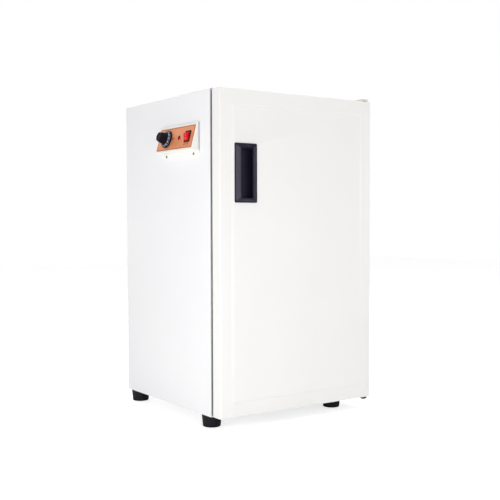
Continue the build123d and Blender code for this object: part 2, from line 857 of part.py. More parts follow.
# Pod: wedge folded from sheet, open to the case, with a flange below for two screws
with BuildPart() as control_pod:
    with BuildSketch(front_plane(pod_y - pod_length / 2)):
        with BuildLine():
            Polyline(
                (x_left, nose_z - pod_underside_drop),
                (x_left - pod_nose_reach, nose_z),
                (x_left - pod_top_reach, nose_z + pod_rise),
                (x_left, nose_z + pod_rise + pod_top_fall),
                close=True,
            )
        make_face()
    extrude(amount=-pod_length)
    outer_edges = edges().filter_by(lambda edge: edge.center().X < x_left - pod_wall)
    offset(amount=-pod_wall, openings=faces().filter_by(Plane.YZ).sort_by(Axis.X)[-1])
    fillet(outer_edges, pod_fold)
    with BuildSketch(Plane.YZ.offset(x_left)):
        with Locations((pod_y, (flange_bottom + nose_z - pod_underside_drop + pod_wall) / 2)):
            Rectangle(pod_length, nose_z - pod_underside_drop + pod_wall - flange_bottom)
        fillet(vertices().group_by(Axis.Y)[0], pod_corner)
    extrude(amount=-pod_wall)
    block(
        x_left - pod_gap, x_left,
        pod_y - pod_length / 2, pod_y + pod_length / 2,
        nose_z - pod_underside_drop + pod_wall, nose_z + pod_rise + pod_top_fall,
        mode=Mode.SUBTRACT,
    )
    with BuildSketch(slope):
        control_openings()
    extrude(amount=-pod_wall, mode=Mode.SUBTRACT)
    add(pod_screws.part, mode=Mode.SUBTRACT)
    add(thermostat_screws.part, mode=Mode.SUBTRACT)
finish(control_pod.part, "control_pod")

# Copper-coloured plate on the slope
with BuildPart() as faceplate:
    with BuildSketch(slope):
        RectangleRounded(plate_length, plate_width, plate_corner)
        control_openings(Mode.SUBTRACT)
    extrude(amount=plate_sheet)
    add(thermostat_screws.part, mode=Mode.SUBTRACT)
finish(faceplate.part, "faceplate")

# Sensor: capillary from the thermostat through the tank's wall, down to a bulb in the chamber
capillary_u = knob_u - capillary_side
thermostat_rear = -pod_wall - thermostat_depth
capillary_start = slope.from_local_coords((capillary_u, -capillary_offset, thermostat_rear))
capillary_turn = slope.from_local_coords((capillary_u, -capillary_offset, thermostat_rear - capillary_lead))
bulb_x = chamber_left + capillary_stand
bulb_top = capillary_turn.Z - capillary_drop
with BuildPart() as sensor_bulb:
    with BuildLine() as capillary_path:
        FilletPolyline(
            capillary_start,
            capillary_turn,
            (bulb_x, capillary_turn.Y, capillary_turn.Z),
            (bulb_x, capillary_turn.Y, bulb_top - bulb_radius),
            radius=capillary_bend,
        )
    with BuildSketch(Plane(origin=capillary_start, x_dir=slope.x_dir, z_dir=-slope.z_dir)):
        RegularPolygon(capillary_radius, tube_sides)
    sweep(path=capillary_path.wires()[0])
    with BuildSketch(Plane.XY.offset(bulb_top - bulb_length)):
        with Locations((bulb_x, capillary_turn.Y)):
            RegularPolygon(bulb_radius, bulb_sides)
    extrude(amount=bulb_length)
    chamfer(faces().sort_by(Axis.Z)[0].edges(), bulb_round)
finish(sensor_bulb.part, "sensor_bulb")

grommet_plane = Plane(
    origin=(tank_left, capillary_turn.Y, capillary_turn.Z), x_dir=slope.x_dir, z_dir=(1, 0, 0)
)
with BuildPart() as capillary_grommet:
    for radius, near, far in (
        (grommet_flange, -grommet_lip, 0),
        (grommet_radius, 0, tank_sheet),
        (grommet_flange, tank_sheet, tank_sheet + grommet_lip),
    ):
        with BuildSketch(grommet_plane.offset(near)):
            RegularPolygon(radius, bulb_sides)
            RegularPolygon(capillary_radius, tube_sides, mode=Mode.SUBTRACT)
        extrude(amount=far - near)
finish(capillary_grommet.part, "capillary_grommet")

# Two clips that hold the bulb off the wall
with BuildPart() as sensor_clips:
    for z in (bulb_top - bulb_length * clip_share, bulb_top - bulb_length * (1 - clip_share)):
        with BuildSketch(Plane.XY.offset(z - clip_height / 2)):
            with Locations((bulb_x, capillary_turn.Y)):
                RegularPolygon(bulb_radius + clip_sheet, bulb_sides)
            with Locations(((chamber_left + bulb_x) / 2, capillary_turn.Y)):
                Rectangle(bulb_x - chamber_left, clip_sheet)
            with Locations((chamber_left + clip_sheet / 2, capillary_turn.Y)):
                Rectangle(clip_sheet, clip_foot)
            with Locations((bulb_x, capillary_turn.Y)):
                RegularPolygon(bulb_radius, bulb_sides, mode=Mode.SUBTRACT)
        extrude(amount=clip_height)
finish(sensor_clips.part, "sensor_clips")

# Stainless tank, open in front, with a lip behind the face frame
with BuildPart() as inner_tank:
    with BuildSketch(front_plane(tank_front)):
        with Locations((chamber_x, chamber_z)):
            RectangleRounded(chamber_width, chamber_height, chamber_radius)
    extrude(amount=-(tank_back - tank_front))
    with BuildSketch(front_plane(tank_front)):
        with Locations((chamber_x, chamber_z)):
            RectangleRounded(
                chamber_width + 2 * tank_lip, chamber_height + 2 * tank_lip, chamber_radius + tank_lip
            )
    extrude(amount=-tank_sheet)
    with BuildSketch(front_plane(tank_front)):
        with Locations((chamber_x, chamber_z)):
            RectangleRounded(
                chamber_width - 2 * tank_sheet, chamber_height - 2 * tank_sheet, chamber_radius - tank_sheet
            )
    extrude(amount=-(chamber_back - tank_front), mode=Mode.SUBTRACT)
    with BuildSketch(front_plane(tank_back)):
        with Locations((run_xs[0], heater_z), (run_xs[-1], heater_z)):
            RegularPolygon(heater_radius, tube_sides)
    extrude(amount=tank_sheet, mode=Mode.SUBTRACT)
    with BuildSketch(grommet_plane):
        RegularPolygon(grommet_radius, bulb_sides)
    extrude(amount=tank_sheet, mode=Mode.SUBTRACT)
finish(inner_tank.part, "inner_tank")

# Over-temperature cut-out pressed on the tank's back
cutout_plane = Plane(
    origin=(chamber_x + cutout_side, tank_back, heater_z + cutout_rise), x_dir=(-1, 0, 0), z_dir=(0, 1, 0)
)
with BuildPart() as thermal_cutout:
    with BuildSketch(cutout_plane):
        Rectangle(cutout_ears, cutout_ear_width)
    extrude(amount=cutout_ear_sheet)
    with BuildSketch(cutout_plane):
        RegularPolygon(cutout_radius, bulb_sides)
    extrude(amount=cutout_height)
    with BuildSketch(cutout_plane.offset(cutout_height)):
        with GridLocations(cutout_radius, 0, 2, 1):
            Rectangle(tab_sheet, tab_width)
    extrude(amount=tab_length)
finish(thermal_cutout.part, "thermal_cutout")

# Terminal block behind the back panel, and the loom from it to the thermostat
terminal_x = inlet_x + terminal_side
terminal_z = inlet_z + terminal_rise
with BuildPart() as terminal_block:
    block(
        terminal_x, terminal_x + terminal_length,
        y_back - back_sheet - terminal_depth, y_back - back_sheet,
        terminal_z - terminal_height / 2, terminal_z + terminal_height / 2,
    )
    with BuildSketch(front_plane(y_back - back_sheet - terminal_depth)):
        with Locations((terminal_x + terminal_length / 2, terminal_z)):
            with GridLocations(terminal_length / terminal_ways, 0, terminal_ways, 1):
                Rectangle(2 * terminal_hole, 2 * terminal_hole)
    extrude(amount=-terminal_hole_depth, mode=Mode.SUBTRACT)
finish(terminal_block.part, "terminal_block")

loom_start = slope.from_local_coords((knob_u + loom_side, 0, thermostat_rear))
loom_turn = slope.from_local_coords((knob_u + loom_side, 0, thermostat_rear - loom_lead))
loom_y = y_back - back_sheet - terminal_depth / 2
with BuildPart() as wiring_loom:
    with BuildLine() as loom_path:
        FilletPolyline(
            loom_start,
            loom_turn,
            (loom_turn.X, loom_turn.Y, terminal_z),
            (loom_turn.X, loom_y, terminal_z),
            (terminal_x, loom_y, terminal_z),
            radius=[loom_first_bend, loom_bend, loom_last_bend],
        )
    with BuildSketch(Plane(origin=loom_start, x_dir=slope.x_dir, z_dir=-slope.z_dir)):
        RegularPolygon(loom_radius, tube_sides)
    sweep(path=loom_path.wires()[0])
finish(wiring_loom.part, "wiring_loom")

# Mineral wool round the tank, cut away for the controls, the loom and the wiring behind
wool_left = x_left + sheet + insulation_gap
wool_right = x_right - sheet - insulation_gap
wool_front = tank_front + tank_sheet
wool_back = y_back - back_sheet - sheet - insulation_gap
wool_bottom = z_base + sheet + insulation_gap
wool_top = z_top - sheet - insulation_gap
with BuildPart() as case_insulation:
    block(wool_left, wool_right, wool_front, wool_back, wool_bottom, wool_top)
    block(tank_left, tank_right, wool_front, tank_back, tank_floor, tank_ceiling, mode=Mode.SUBTRACT)
    block(
        wool_left, tank_left,
        pod_y - window_length / 2, pod_y + window_length / 2,
        slope_z - pocket_drop, slope_z + window_height / 2,
        mode=Mode.SUBTRACT,
    )
    block(
        wool_left, loom_turn.X + loom_channel / 2,
        loom_turn.Y - loom_channel / 2, loom_turn.Y + loom_channel / 2,
        terminal_z - loom_channel / 2, slope_z,
        mode=Mode.SUBTRACT,
    )
    block(
        wool_left, loom_turn.X + loom_channel / 2,
        loom_turn.Y - loom_channel / 2, wool_back,
        terminal_z - loom_channel / 2, terminal_z + loom_channel / 2,
        mode=Mode.SUBTRACT,
    )
    block(
        wool_left, loom_turn.X + loom_channel / 2,
        loom_turn.Y, loom_turn.Y + loom_bend,
        terminal_z, terminal_z + loom_bend,
        mode=Mode.SUBTRACT,
    )
    block(
        wool_left, run_xs[-1] + service_margin,
        tank_back, wool_back,
        inlet_z - service_drop, inlet_z + service_rise,
        mode=Mode.SUBTRACT,
    )
finish(case_insulation.part, "case_insulation")

# Slotted uprights on the chamber's side walls, and angle runners hooked on them
upright_ys = (tank_front + upright_front, chamber_back - upright_back)
upright_z0 = chamber_floor + upright_bottom
upright_z1 = chamber_ceiling - upright_top
slot_count = int((upright_z1 - upright_z0) // upright_pitch)
with BuildPart() as shelf_uprights:
    for wall_x, inward in ((chamber_left, 1), (chamber_right, -1)):
        with BuildSketch(Plane(origin=(wall_x, 0, 0), x_dir=(0, inward, 0), z_dir=(inward, 0, 0))):
            for y in upright_ys:
                with Locations((inward * y, (upright_z0 + upright_z1) / 2)):
                    Rectangle(upright_width, upright_z1 - upright_z0)
                    with GridLocations(0, upright_pitch, 1, slot_count):
                        Rectangle(upright_slot_width, upright_slot_height, mode=Mode.SUBTRACT)
        extrude(amount=upright_sheet)
finish(shelf_uprights.part, "shelf_uprights")

shelf_levels = [chamber_floor + shelf_first + i * shelf_pitch for i in range(shelf_count)]
runner_y0 = upright_ys[0] - upright_width / 2 - runner_end
runner_y1 = upright_ys[1] + upright_width / 2 + runner_end
with BuildPart() as shelf_runners:
    for level in shelf_levels:
        for wall_x, inward in ((chamber_left, 1), (chamber_right, -1)):
            face_x = wall_x + inward * upright_sheet
            with BuildSketch(front_plane(runner_y0)):
                with BuildLine():
                    Polyline(
                        (face_x, level),
                        (face_x + inward * runner_leg, level),
                        (face_x + inward * runner_leg, level - runner_sheet),
                        (face_x + inward * runner_sheet, level - runner_sheet),
                        (face_x + inward * runner_sheet, level - runner_height),
                        (face_x, level - runner_height),
                        close=True,
                    )
                make_face()
            extrude(amount=-(runner_y1 - runner_y0))
finish(shelf_runners.part, "shelf_runners")

# Wire shelves resting on the runners
shelf_x0 = chamber_left + shelf_side_clearance + shelf_rod
shelf_x1 = chamber_right - shelf_side_clearance - shelf_rod
shelf_y0 = tank_front + shelf_front_clearance + shelf_rod
shelf_y1 = chamber_back - shelf_back_clearance - shelf_rod
shelf_wire_pitch = (shelf_x1 - shelf_x0) / (shelf_wires + 1)
for name, level in zip(("shelf_lower", "shelf_middle", "shelf_upper"), shelf_levels):
    z = level + shelf_rod
    with BuildPart() as shelf:
        for radius, mode in ((shelf_rod, Mode.ADD), (-shelf_rod, Mode.SUBTRACT)):
            with BuildSketch(Plane.XY.offset(level)):
                with Locations((chamber_x, (shelf_y0 + shelf_y1) / 2)):
                    Rectangle(shelf_x1 - shelf_x0 + 2 * radius, shelf_y1 - shelf_y0 + 2 * radius)
                    chamfer(vertices(), shelf_corner + radius * (2 - sqrt(2)))
            extrude(amount=2 * shelf_rod, mode=mode)
        for i in range(shelf_wires):
            with BuildSketch(front_plane(shelf_y0)):
                with Locations((shelf_x0 + (i + 1) * shelf_wire_pitch, z)):
                    Rectangle(2 * shelf_wire, 2 * shelf_wire)
            extrude(amount=-(shelf_y1 - shelf_y0))
        with BuildSketch(Plane.YZ.offset(shelf_x0)):
            for y in (shelf_y0 + shelf_brace, shelf_y1 - shelf_brace):
                with Locations((y, (level + z - shelf_wire) / 2)):
                    Rectangle(2 * shelf_wire, z - shelf_wire - level)
        extrude(amount=shelf_x1 - shelf_x0)
    finish(shelf.part, name)

# Feet: tapered rubber with a screw sunk in each
for name, (x, y) in foot_places.items():
    with BuildPart() as foot:
        with BuildSketch(Plane.XZ.offset(-y)):
            with BuildLine():
                Polyline(
                    (x, 0),
                    (x + foot_bottom_radius, 0),
                    (x + foot_radius, foot_height),
                    (x, foot_height),
                    close=True,
                )
            make_face()
            chamfer(vertices().sort_by_distance((x + foot_bottom_radius, 0))[0], foot_edge)
        revolve(axis=Axis((x, y, 0), (0, 0, 1)))
        with BuildSketch(Plane.XY):
            with Locations((x, y)):
                RegularPolygon(foot_bore, head_sides)
        extrude(amount=foot_height - foot_seat, mode=Mode.SUBTRACT)
        add(foot_screws.part, mode=Mode.SUBTRACT)
    finish(foot.part, name)


# Hinges: a plate over and an arm under the door's right corner, each with a pin in a bush of the door
def hinge_bracket(z, thickness):
    """A flat bracket with a rounded nose over the hinge's axis and two countersunk screws on the case."""
    with BuildPart() as bracket:
        with BuildSketch(Plane.XY.offset(z)) as outline:
            with Locations((bracket_x, (bracket_y0 + bracket_y1) / 2)):
                Rectangle(bracket_width, bracket_y1 - bracket_y0)
            fillet(outline.vertices().group_by(Axis.Y)[0], bracket_round)
        extrude(outline.sketch, amount=thickness)
        add(hinge_screws.part, mode=Mode.SUBTRACT)
        with Locations((hinge_x, hinge_y, z + thickness / 2)):
            Cylinder(hinge_radius, thickness, mode=Mode.SUBTRACT)
    return bracket.part


finish(hinge_bracket(z_top, upper_bracket_sheet), "upper_hinge_bracket")
finish(hinge_bracket(z_base - lower_bracket_sheet, lower_bracket_sheet), "lower_hinge_bracket")

upper_pin_plane = Plane((hinge_x, hinge_y, z_top + upper_bracket_sheet), x_dir=(1, 0, 0), z_dir=(0, 0, 1))
upper_pin_length = upper_bracket_sheet + door_top_drop + hinge_engagement
finish(
    turned(
        upper_pin_plane,
        [
            (0, rivet_head),
            (rivet_radius, rivet_head),
            (rivet_radius, 0),
            (hinge_radius, 0),
            (hinge_radius, -upper_pin_length + pin_tip),
            (hinge_radius - pin_tip, -upper_pin_length),
            (0, -upper_pin_length),
        ],
    ),
    "upper_hinge_pin",
)
lower_pin_plane = Plane((hinge_x, hinge_y, z_base - lower_bracket_sheet), x_dir=(1, 0, 0), z_dir=(0, 0, 1))
lower_pin_length = lower_bracket_sheet + door_bottom_rise + hinge_engagement
finish(
    turned(
        lower_pin_plane,
        [
            (0, -lower_head),
            (rivet_radius, -lower_head),
            (rivet_radius, 0),
            (hinge_radius, 0),
            (hinge_radius, lower_pin_length - pin_tip),
            (hinge_radius - pin_tip, lower_pin_length),
            (0, lower_pin_length),
        ],
    ),
    "lower_hinge_pin",
)
with BuildPart() as hinge_washer:
    with BuildSketch(Plane.XY.offset(z_base)):
        with Locations((hinge_x, hinge_y)):
            RegularPolygon(washer_radius, head_sides)
            Circle(hinge_radius + running_clearance, mode=Mode.SUBTRACT)
    extrude(amount=door_bottom_rise)
finish(hinge_washer.part, "hinge_washer")

# Pale cap snapped over the top bracket
with BuildPart() as upper_hinge_cap:
    cap_margin = cap_wall + cap_clearance
    with BuildSketch(Plane.XY.offset(z_top)):
        with Locations((bracket_x, (bracket_y0 + bracket_y1) / 2)):
            Rectangle(bracket_width + 2 * cap_margin, bracket_y1 - bracket_y0 + 2 * cap_margin)
        chamfer(vertices(), cap_round)
    extrude(amount=cap_height)
    chamfer(faces().sort_by(Axis.Z)[-1].edges(), cap_edge)
    with BuildSketch(Plane.XY.offset(z_top)):
        with Locations((bracket_x, (bracket_y0 + bracket_y1) / 2)):
            Rectangle(bracket_width + 2 * cap_clearance, bracket_y1 - bracket_y0 + 2 * cap_clearance)
    extrude(amount=cap_height - cap_wall, mode=Mode.SUBTRACT)
finish(upper_hinge_cap.part, "upper_hinge_cap")


# Bushes in the door
bush_depth = hinge_engagement + pin_gap + bush_floor


def hinge_bush(plane, flange):
    """A nylon sleeve let into the door, faceted to stop it turning, with a blind bore for a pin."""
    with BuildPart() as bush:
        with BuildSketch(plane) as body_outline:
            RegularPolygon(bush_outer, head_sides)
        extrude(body_outline.sketch, amount=-bush_depth)
        if flange > 0:
            with BuildSketch(plane) as flange_outline:
                Circle(bush_flange_radius)
            extrude(flange_outline.sketch, amount=flange)
        with BuildSketch(plane.offset(flange)) as bore_outline:
            Circle(hinge_radius + running_clearance)
        extrude(bore_outline.sketch, amount=-(flange + hinge_engagement + pin_gap), mode=Mode.SUBTRACT)
    return bush.part


upper_bush_plane = Plane(origin=(hinge_x, hinge_y, door_top), x_dir=(1, 0, 0), z_dir=(0, 0, 1))
lower_bush_plane = Plane(origin=(hinge_x, hinge_y, door_bottom), x_dir=(1, 0, 0), z_dir=(0, 0, -1))
upper_hinge_bush = hinge_bush(upper_bush_plane, bush_flange)
lower_hinge_bush = hinge_bush(lower_bush_plane, 0)
finish(upper_hinge_bush, "upper_hinge_bush")
finish(lower_hinge_bush, "lower_hinge_bush")

# Recessed pull: rim on the door's field, sloping sides, and a pocket undercut behind the right-hand lip
y_field = y_door - field_rise
handle_x = x_left + handle_left + handle_width / 2
handle_z = z_base + handle_bottom + handle_height / 2
rim_front = y_field - handle_rim
mouth_width = handle_width - 2 * handle_land
mouth_height = handle_height - 2 * handle_land
pocket_x0 = handle_x - mouth_width / 2 + funnel_left
pocket_x1 = handle_x + mouth_width / 2 - funnel_right
undercut_x = handle_x + handle_width / 2 - handle_body_inset - handle_wall
pocket_height = mouth_height - 2 * funnel_end
funnel_y = y_field + funnel_depth
pocket_y = y_field + pocket_depth
with BuildPart() as handle_cup:
    with BuildSketch(front_plane(y_field)):
        with Locations((handle_x, handle_z)):
            RectangleRounded(handle_width, handle_height, handle_corner)
    extrude(amount=handle_rim)
    chamfer(faces().sort_by(Axis.Y)[0].edges(), handle_rim_round)
    with BuildSketch(front_plane(y_field)):
        with Locations((handle_x, handle_z)):
            Rectangle(handle_width - 2 * handle_body_inset, handle_height - 2 * handle_body_inset)
    extrude(amount=-(pocket_depth + handle_wall))
    with BuildSketch(front_plane(rim_front)):
        with Locations((handle_x, handle_z)):
            Rectangle(mouth_width, mouth_height)
    with BuildSketch(front_plane(funnel_y)):
        with Locations(((pocket_x0 + pocket_x1) / 2, handle_z)):
            Rectangle(pocket_x1 - pocket_x0, pocket_height)
    loft(mode=Mode.SUBTRACT)
    with BuildSketch(front_plane(funnel_y)):
        with Locations(((pocket_x0 + pocket_x1) / 2, handle_z)):
            Rectangle(pocket_x1 - pocket_x0, pocket_height)
    extrude(amount=-(pocket_depth - funnel_depth), mode=Mode.SUBTRACT)
    block(
        pocket_x1, undercut_x,
        funnel_y + finger_lip, pocket_y,
        handle_z - pocket_height / 2, handle_z + pocket_height / 2,
        mode=Mode.SUBTRACT,
    )
finish(handle_cup.part, "handle_cup")

# Door skin: pan with soft front edges and a faintly raised field
field_width = case_width - 2 * field_inset
field_height = door_height - 2 * field_inset
with BuildPart() as door_skin:
    with BuildSketch(front_plane(y_door)):
        with Locations((x_mid, door_z)):
            RectangleRounded(case_width, door_height, door_corner)
    extrude(amount=-door_thickness)
    fillet(faces().sort_by(Axis.Y)[0].edges(), door_radius)
    with BuildSketch(front_plane(y_door)):
        with Locations((x_mid, door_z)):
            Rectangle(field_width, field_height)
    with BuildSketch(front_plane(y_field)):
        with Locations((x_mid, door_z)):
            Rectangle(field_width - 2 * field_slope, field_height - 2 * field_slope)
    loft()
    block(
        x_left + sheet, x_right - sheet, y_door + sheet, y_gasket, door_bottom + sheet, door_top - sheet,
        mode=Mode.SUBTRACT,
    )
    with BuildSketch(front_plane(y_field)):
        with Locations((handle_x, handle_z)):
            Rectangle(handle_width - 2 * handle_body_inset, handle_height - 2 * handle_body_inset)
    extrude(amount=-(field_rise + sheet), mode=Mode.SUBTRACT)
    add(upper_hinge_bush, mode=Mode.SUBTRACT)
    add(lower_hinge_bush, mode=Mode.SUBTRACT)
    for plane in (upper_bush_plane, lower_bush_plane):
        with BuildSketch(plane):
            RegularPolygon(bush_outer, head_sides)
        extrude(amount=-sheet, mode=Mode.SUBTRACT)
finish(door_skin.part, "door_skin")

# Inner panel of the door, with a pan pressed into it
liner_back = y_gasket
liner_front = y_gasket - liner_sheet
with BuildPart() as door_liner:
    with BuildSketch(front_plane(liner_back)):
        with Locations((x_mid, door_z)):
            Rectangle(case_width - 2 * sheet, door_height - 2 * sheet)
    extrude(amount=liner_sheet)
    pan_width = case_width - 2 * liner_field_inset
    pan_height_inside = door_height - 2 * liner_field_inset
    with BuildSketch(front_plane(liner_front)):
        with Locations((x_mid, door_z)):
            Rectangle(pan_width, pan_height_inside)
            chamfer(vertices(), liner_corner)
    extrude(amount=liner_field_depth)
    with BuildSketch(front_plane(liner_back)):
        with Locations((x_mid, door_z)):
            Rectangle(pan_width - 2 * liner_sheet, pan_height_inside - 2 * liner_sheet)
            chamfer(vertices(), liner_corner - liner_sheet)
    extrude(amount=liner_field_depth, mode=Mode.SUBTRACT)
finish(door_liner.part, "door_liner")

# Foam filling of the door
with BuildPart() as door_insulation:
    block(
        x_left + sheet, x_right - sheet, y_door + sheet, liner_front, door_bottom + sheet, door_top - sheet,
    )
    with BuildSketch(front_plane(liner_front)):
        with Locations((x_mid, door_z)):
            Rectangle(pan_width, pan_height_inside)
            chamfer(vertices(), liner_corner)
    extrude(amount=liner_field_depth, mode=Mode.SUBTRACT)
    with BuildSketch(front_plane(y_field)):
        with Locations((handle_x, handle_z)):
            Rectangle(handle_width - 2 * handle_body_inset, handle_height - 2 * handle_body_inset)
    extrude(amount=-(pocket_depth + handle_wall), mode=Mode.SUBTRACT)
    for plane in (upper_bush_plane, lower_bush_plane):
        with BuildSketch(plane):
            RegularPolygon(bush_outer, head_sides)
        extrude(amount=-bush_depth, mode=Mode.SUBTRACT)
finish(door_insulation.part, "door_insulation")

# Seal: hollow strip round the door's back, near flush with the door and narrower where it meets the case
gasket_face = y_case - gasket_relief
seal_slope = gasket_face_inset - gasket_base_inset
with BuildPart() as door_gasket:
    for inset, face_inset, mode in (
        (gasket_base_inset, gasket_face_inset, Mode.ADD),
        (gasket_base_inset + gasket_width, gasket_base_inset + gasket_width - seal_slope, Mode.SUBTRACT),
    ):
        with BuildSketch(front_plane(y_gasket)):
            with Locations((x_mid, door_z)):
                Rectangle(case_width - 2 * inset, door_height - 2 * inset)
        with BuildSketch(front_plane(gasket_face)):
            with Locations((x_mid, door_z)):
                Rectangle(case_width - 2 * face_inset, door_height - 2 * face_inset)
        loft(mode=mode)
    magnet_middle = gasket_base_inset + gasket_width / 2
    hollow_front = y_gasket + magnet_cover
    hollow_back = gasket_face - magnet_cover
    hollow_outer = 2 * (magnet_middle - magnet_width / 2)
    hollow_inner = 2 * (magnet_middle + magnet_width / 2)
    with BuildSketch(front_plane(hollow_front)):
        with Locations((x_mid, door_z)):
            Rectangle(case_width - hollow_outer, door_height - hollow_outer)
            Rectangle(case_width - hollow_inner, door_height - hollow_inner, mode=Mode.SUBTRACT)
    extrude(amount=-(hollow_back - hollow_front), mode=Mode.SUBTRACT)
finish(door_gasket.part, "door_gasket")

# Flexible magnets inside the seal
with BuildPart() as gasket_magnets:
    magnet_y0 = hollow_back - magnet_thickness
    span_x = case_width / 2 - magnet_middle - magnet_width
    span_z = door_height / 2 - magnet_middle - magnet_width
    for side in (-1, 1):
        side_x = x_mid + side * (case_width / 2 - magnet_middle)
        side_z = door_z + side * (door_height / 2 - magnet_middle)
        block(
            side_x - magnet_width / 2, side_x + magnet_width / 2, magnet_y0, hollow_back,
            door_z - span_z, door_z + span_z,
        )
        block(
            x_mid - span_x, x_mid + span_x, magnet_y0, hollow_back,
            side_z - magnet_width / 2, side_z + magnet_width / 2,
        )
finish(gasket_magnets.part, "gasket_magnets")
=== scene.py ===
# %% [markdown]
# # A clinic warming cabinet
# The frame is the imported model: a white steel case, its door, a control pod on the left side and four feet.
# Every CAD node is in metres and stays where it is. The cells below give each node its finish, replace the
# pieces whose surface needs more shape than the solids have, and set the camera and the light.

import math

import bmesh
import bpy
import numpy as np
from mathutils import Matrix, Vector


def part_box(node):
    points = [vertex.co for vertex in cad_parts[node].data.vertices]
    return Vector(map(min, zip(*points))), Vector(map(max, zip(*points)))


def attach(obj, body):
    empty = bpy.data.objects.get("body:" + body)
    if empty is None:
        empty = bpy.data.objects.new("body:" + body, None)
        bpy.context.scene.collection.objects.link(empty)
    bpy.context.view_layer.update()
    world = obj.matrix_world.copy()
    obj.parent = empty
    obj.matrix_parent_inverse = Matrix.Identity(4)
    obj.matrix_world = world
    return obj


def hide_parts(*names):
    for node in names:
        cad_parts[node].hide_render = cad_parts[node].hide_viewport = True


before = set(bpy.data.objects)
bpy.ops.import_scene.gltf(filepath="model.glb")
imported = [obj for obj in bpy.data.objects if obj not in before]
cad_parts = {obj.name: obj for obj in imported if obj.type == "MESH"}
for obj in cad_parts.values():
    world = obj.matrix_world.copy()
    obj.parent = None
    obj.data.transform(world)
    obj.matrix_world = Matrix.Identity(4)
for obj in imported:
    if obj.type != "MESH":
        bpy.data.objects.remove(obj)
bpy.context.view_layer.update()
MM = 0.001


# %% [markdown]
# ## Colours and shader nodes
# A finish is a small tree of shader nodes. Colours are written as a painter would read them off a screen, in
# sRGB hex, and one function turns them to the linear light that the shader mixes. One more function adds a node
# with its settings, because every tree is made of the same step repeated. Each tree starts from Object
# coordinates, which are metres in the cabinet's own frame, so a pattern keeps its real size on every piece.


# %% Colour and node helpers
def linear(colour):
    """sRGB hex to linear RGBA: c / 12.92 below 0.04045, else ((c + 0.055) / 1.055) to the power 2.4."""
    value = np.array([int(colour[i : i + 2], 16) for i in (1, 3, 5)]) / 255
    light = np.where(value <= 0.04045, value / 12.92, ((value + 0.055) / 1.055) ** 2.4)
    return (*light.tolist(), 1.0)


def socket(sockets, name):
    """The socket of this number, or the one in use under this name: a Mix node keeps one for each kind of data."""
    return sockets[name] if isinstance(name, int) else next(s for s in sockets if s.name == name and s.enabled)


def add(tree, kind, out, inputs=None, **settings):
    """A new node's output called out. Each input is a value, or another output that feeds it."""
    made = tree.nodes.new(kind)
    for name, value in settings.items():
        setattr(made, name, value)
    for name, value in (inputs or {}).items():
        if isinstance(value, bpy.types.NodeSocket):
            tree.links.new(value, socket(made.inputs, name))
        else:
            socket(made.inputs, name).default_value = value
    return socket(made.outputs, out)


def start(name, **values):
    """A new material's (material, tree, shader, Object coordinates), with values set on the shader's sockets."""
    material = bpy.data.materials.new(name)
    material.use_nodes = True
    tree = material.node_tree
    shader = tree.nodes["Principled BSDF"]
    for key, value in values.items():
        shader.inputs[key.replace("_", " ")].default_value = value
    return material, tree, shader, add(tree, "ShaderNodeTexCoord", "Object")


def feed(tree, shader, **outputs):
    """Links outputs to the shader's sockets, with Base_Color for Base Color."""
    for key, output in outputs.items():
        tree.links.new(output, shader.inputs[key.replace("_", " ")])


def per_metre(millimetres):
    """A texture's scale on Object coordinates, for a pattern that repeats every so many millimetres."""
    return 1000 / millimetres


def blotches(tree, place, millimetres, low, high):
    """A slow noise of that size, remapped from its middle half to low ... high."""
    noise = add(tree, "ShaderNodeTexNoise", "Fac", {"Vector": place, "Scale": per_metre(millimetres), "Detail": 3.0})
    return add(tree, "ShaderNodeMapRange", "Result", {
        "Value": noise, "From Min": 0.25, "From Max": 0.75, "To Min": low, "To Max": high})


def two_tones(tree, place, millimetres, light, shade):
    """Two colours mixed by blotches of that size: the light one plus the blotch times their difference."""
    return add(tree, "ShaderNodeMix", "Result", {
        "Factor": blotches(tree, place, millimetres, 0.0, 1.0), "A": linear(light), "B": linear(shade)},
        data_type="RGBA")


print("white is", [round(c, 3) for c in linear("#F4F4F2")])

# %% [markdown]
# ## White powder coat
# The case, door and pod are steel sheet sprayed with polyester powder and baked. Up close the coat is not
# flat: it has a faint orange peel with cells about 1.5 mm wide, and its gloss drifts a little from place to
# place. A picture of paint could be wrapped round the case, but noise on Object coordinates needs no seams and
# keeps its size on every piece.

# %% Powder coat
peel_size, peel_depth = 1.5, 0.012
coat_tone_size, coat_gloss_size = 300, 90


def powder_coat(name, light, shade):
    """Polyester powder: IOR 1.5, half gloss. Two near whites drift over 300 mm, and the peel is a fine noise."""
    material, tree, shader, place = start(name, IOR=1.5)
    peel = add(tree, "ShaderNodeTexNoise", "Fac", {"Vector": place, "Scale": per_metre(peel_size), "Detail": 1.0})
    feed(tree, shader, Base_Color=two_tones(tree, place, coat_tone_size, light, shade),
         Roughness=blotches(tree, place, coat_gloss_size, 0.28, 0.36),
         Normal=add(tree, "ShaderNodeBump", "Normal", {"Height": peel, "Distance": peel_depth * MM}))
    return material


case_coat = powder_coat("powder_coat_case", "#F3F3F4", "#EFEFF1")
door_coat = powder_coat("powder_coat_door", "#F1F0EE", "#EDECEA")
pod_coat = powder_coat("powder_coat_pod", "#F3F2EE", "#EEEDE8")
inner_coat = powder_coat("powder_coat_inner", "#ECECEA", "#E6E6E4")
print("powder coats", case_coat.name, door_coat.name, pod_coat.name, inner_coat.name)
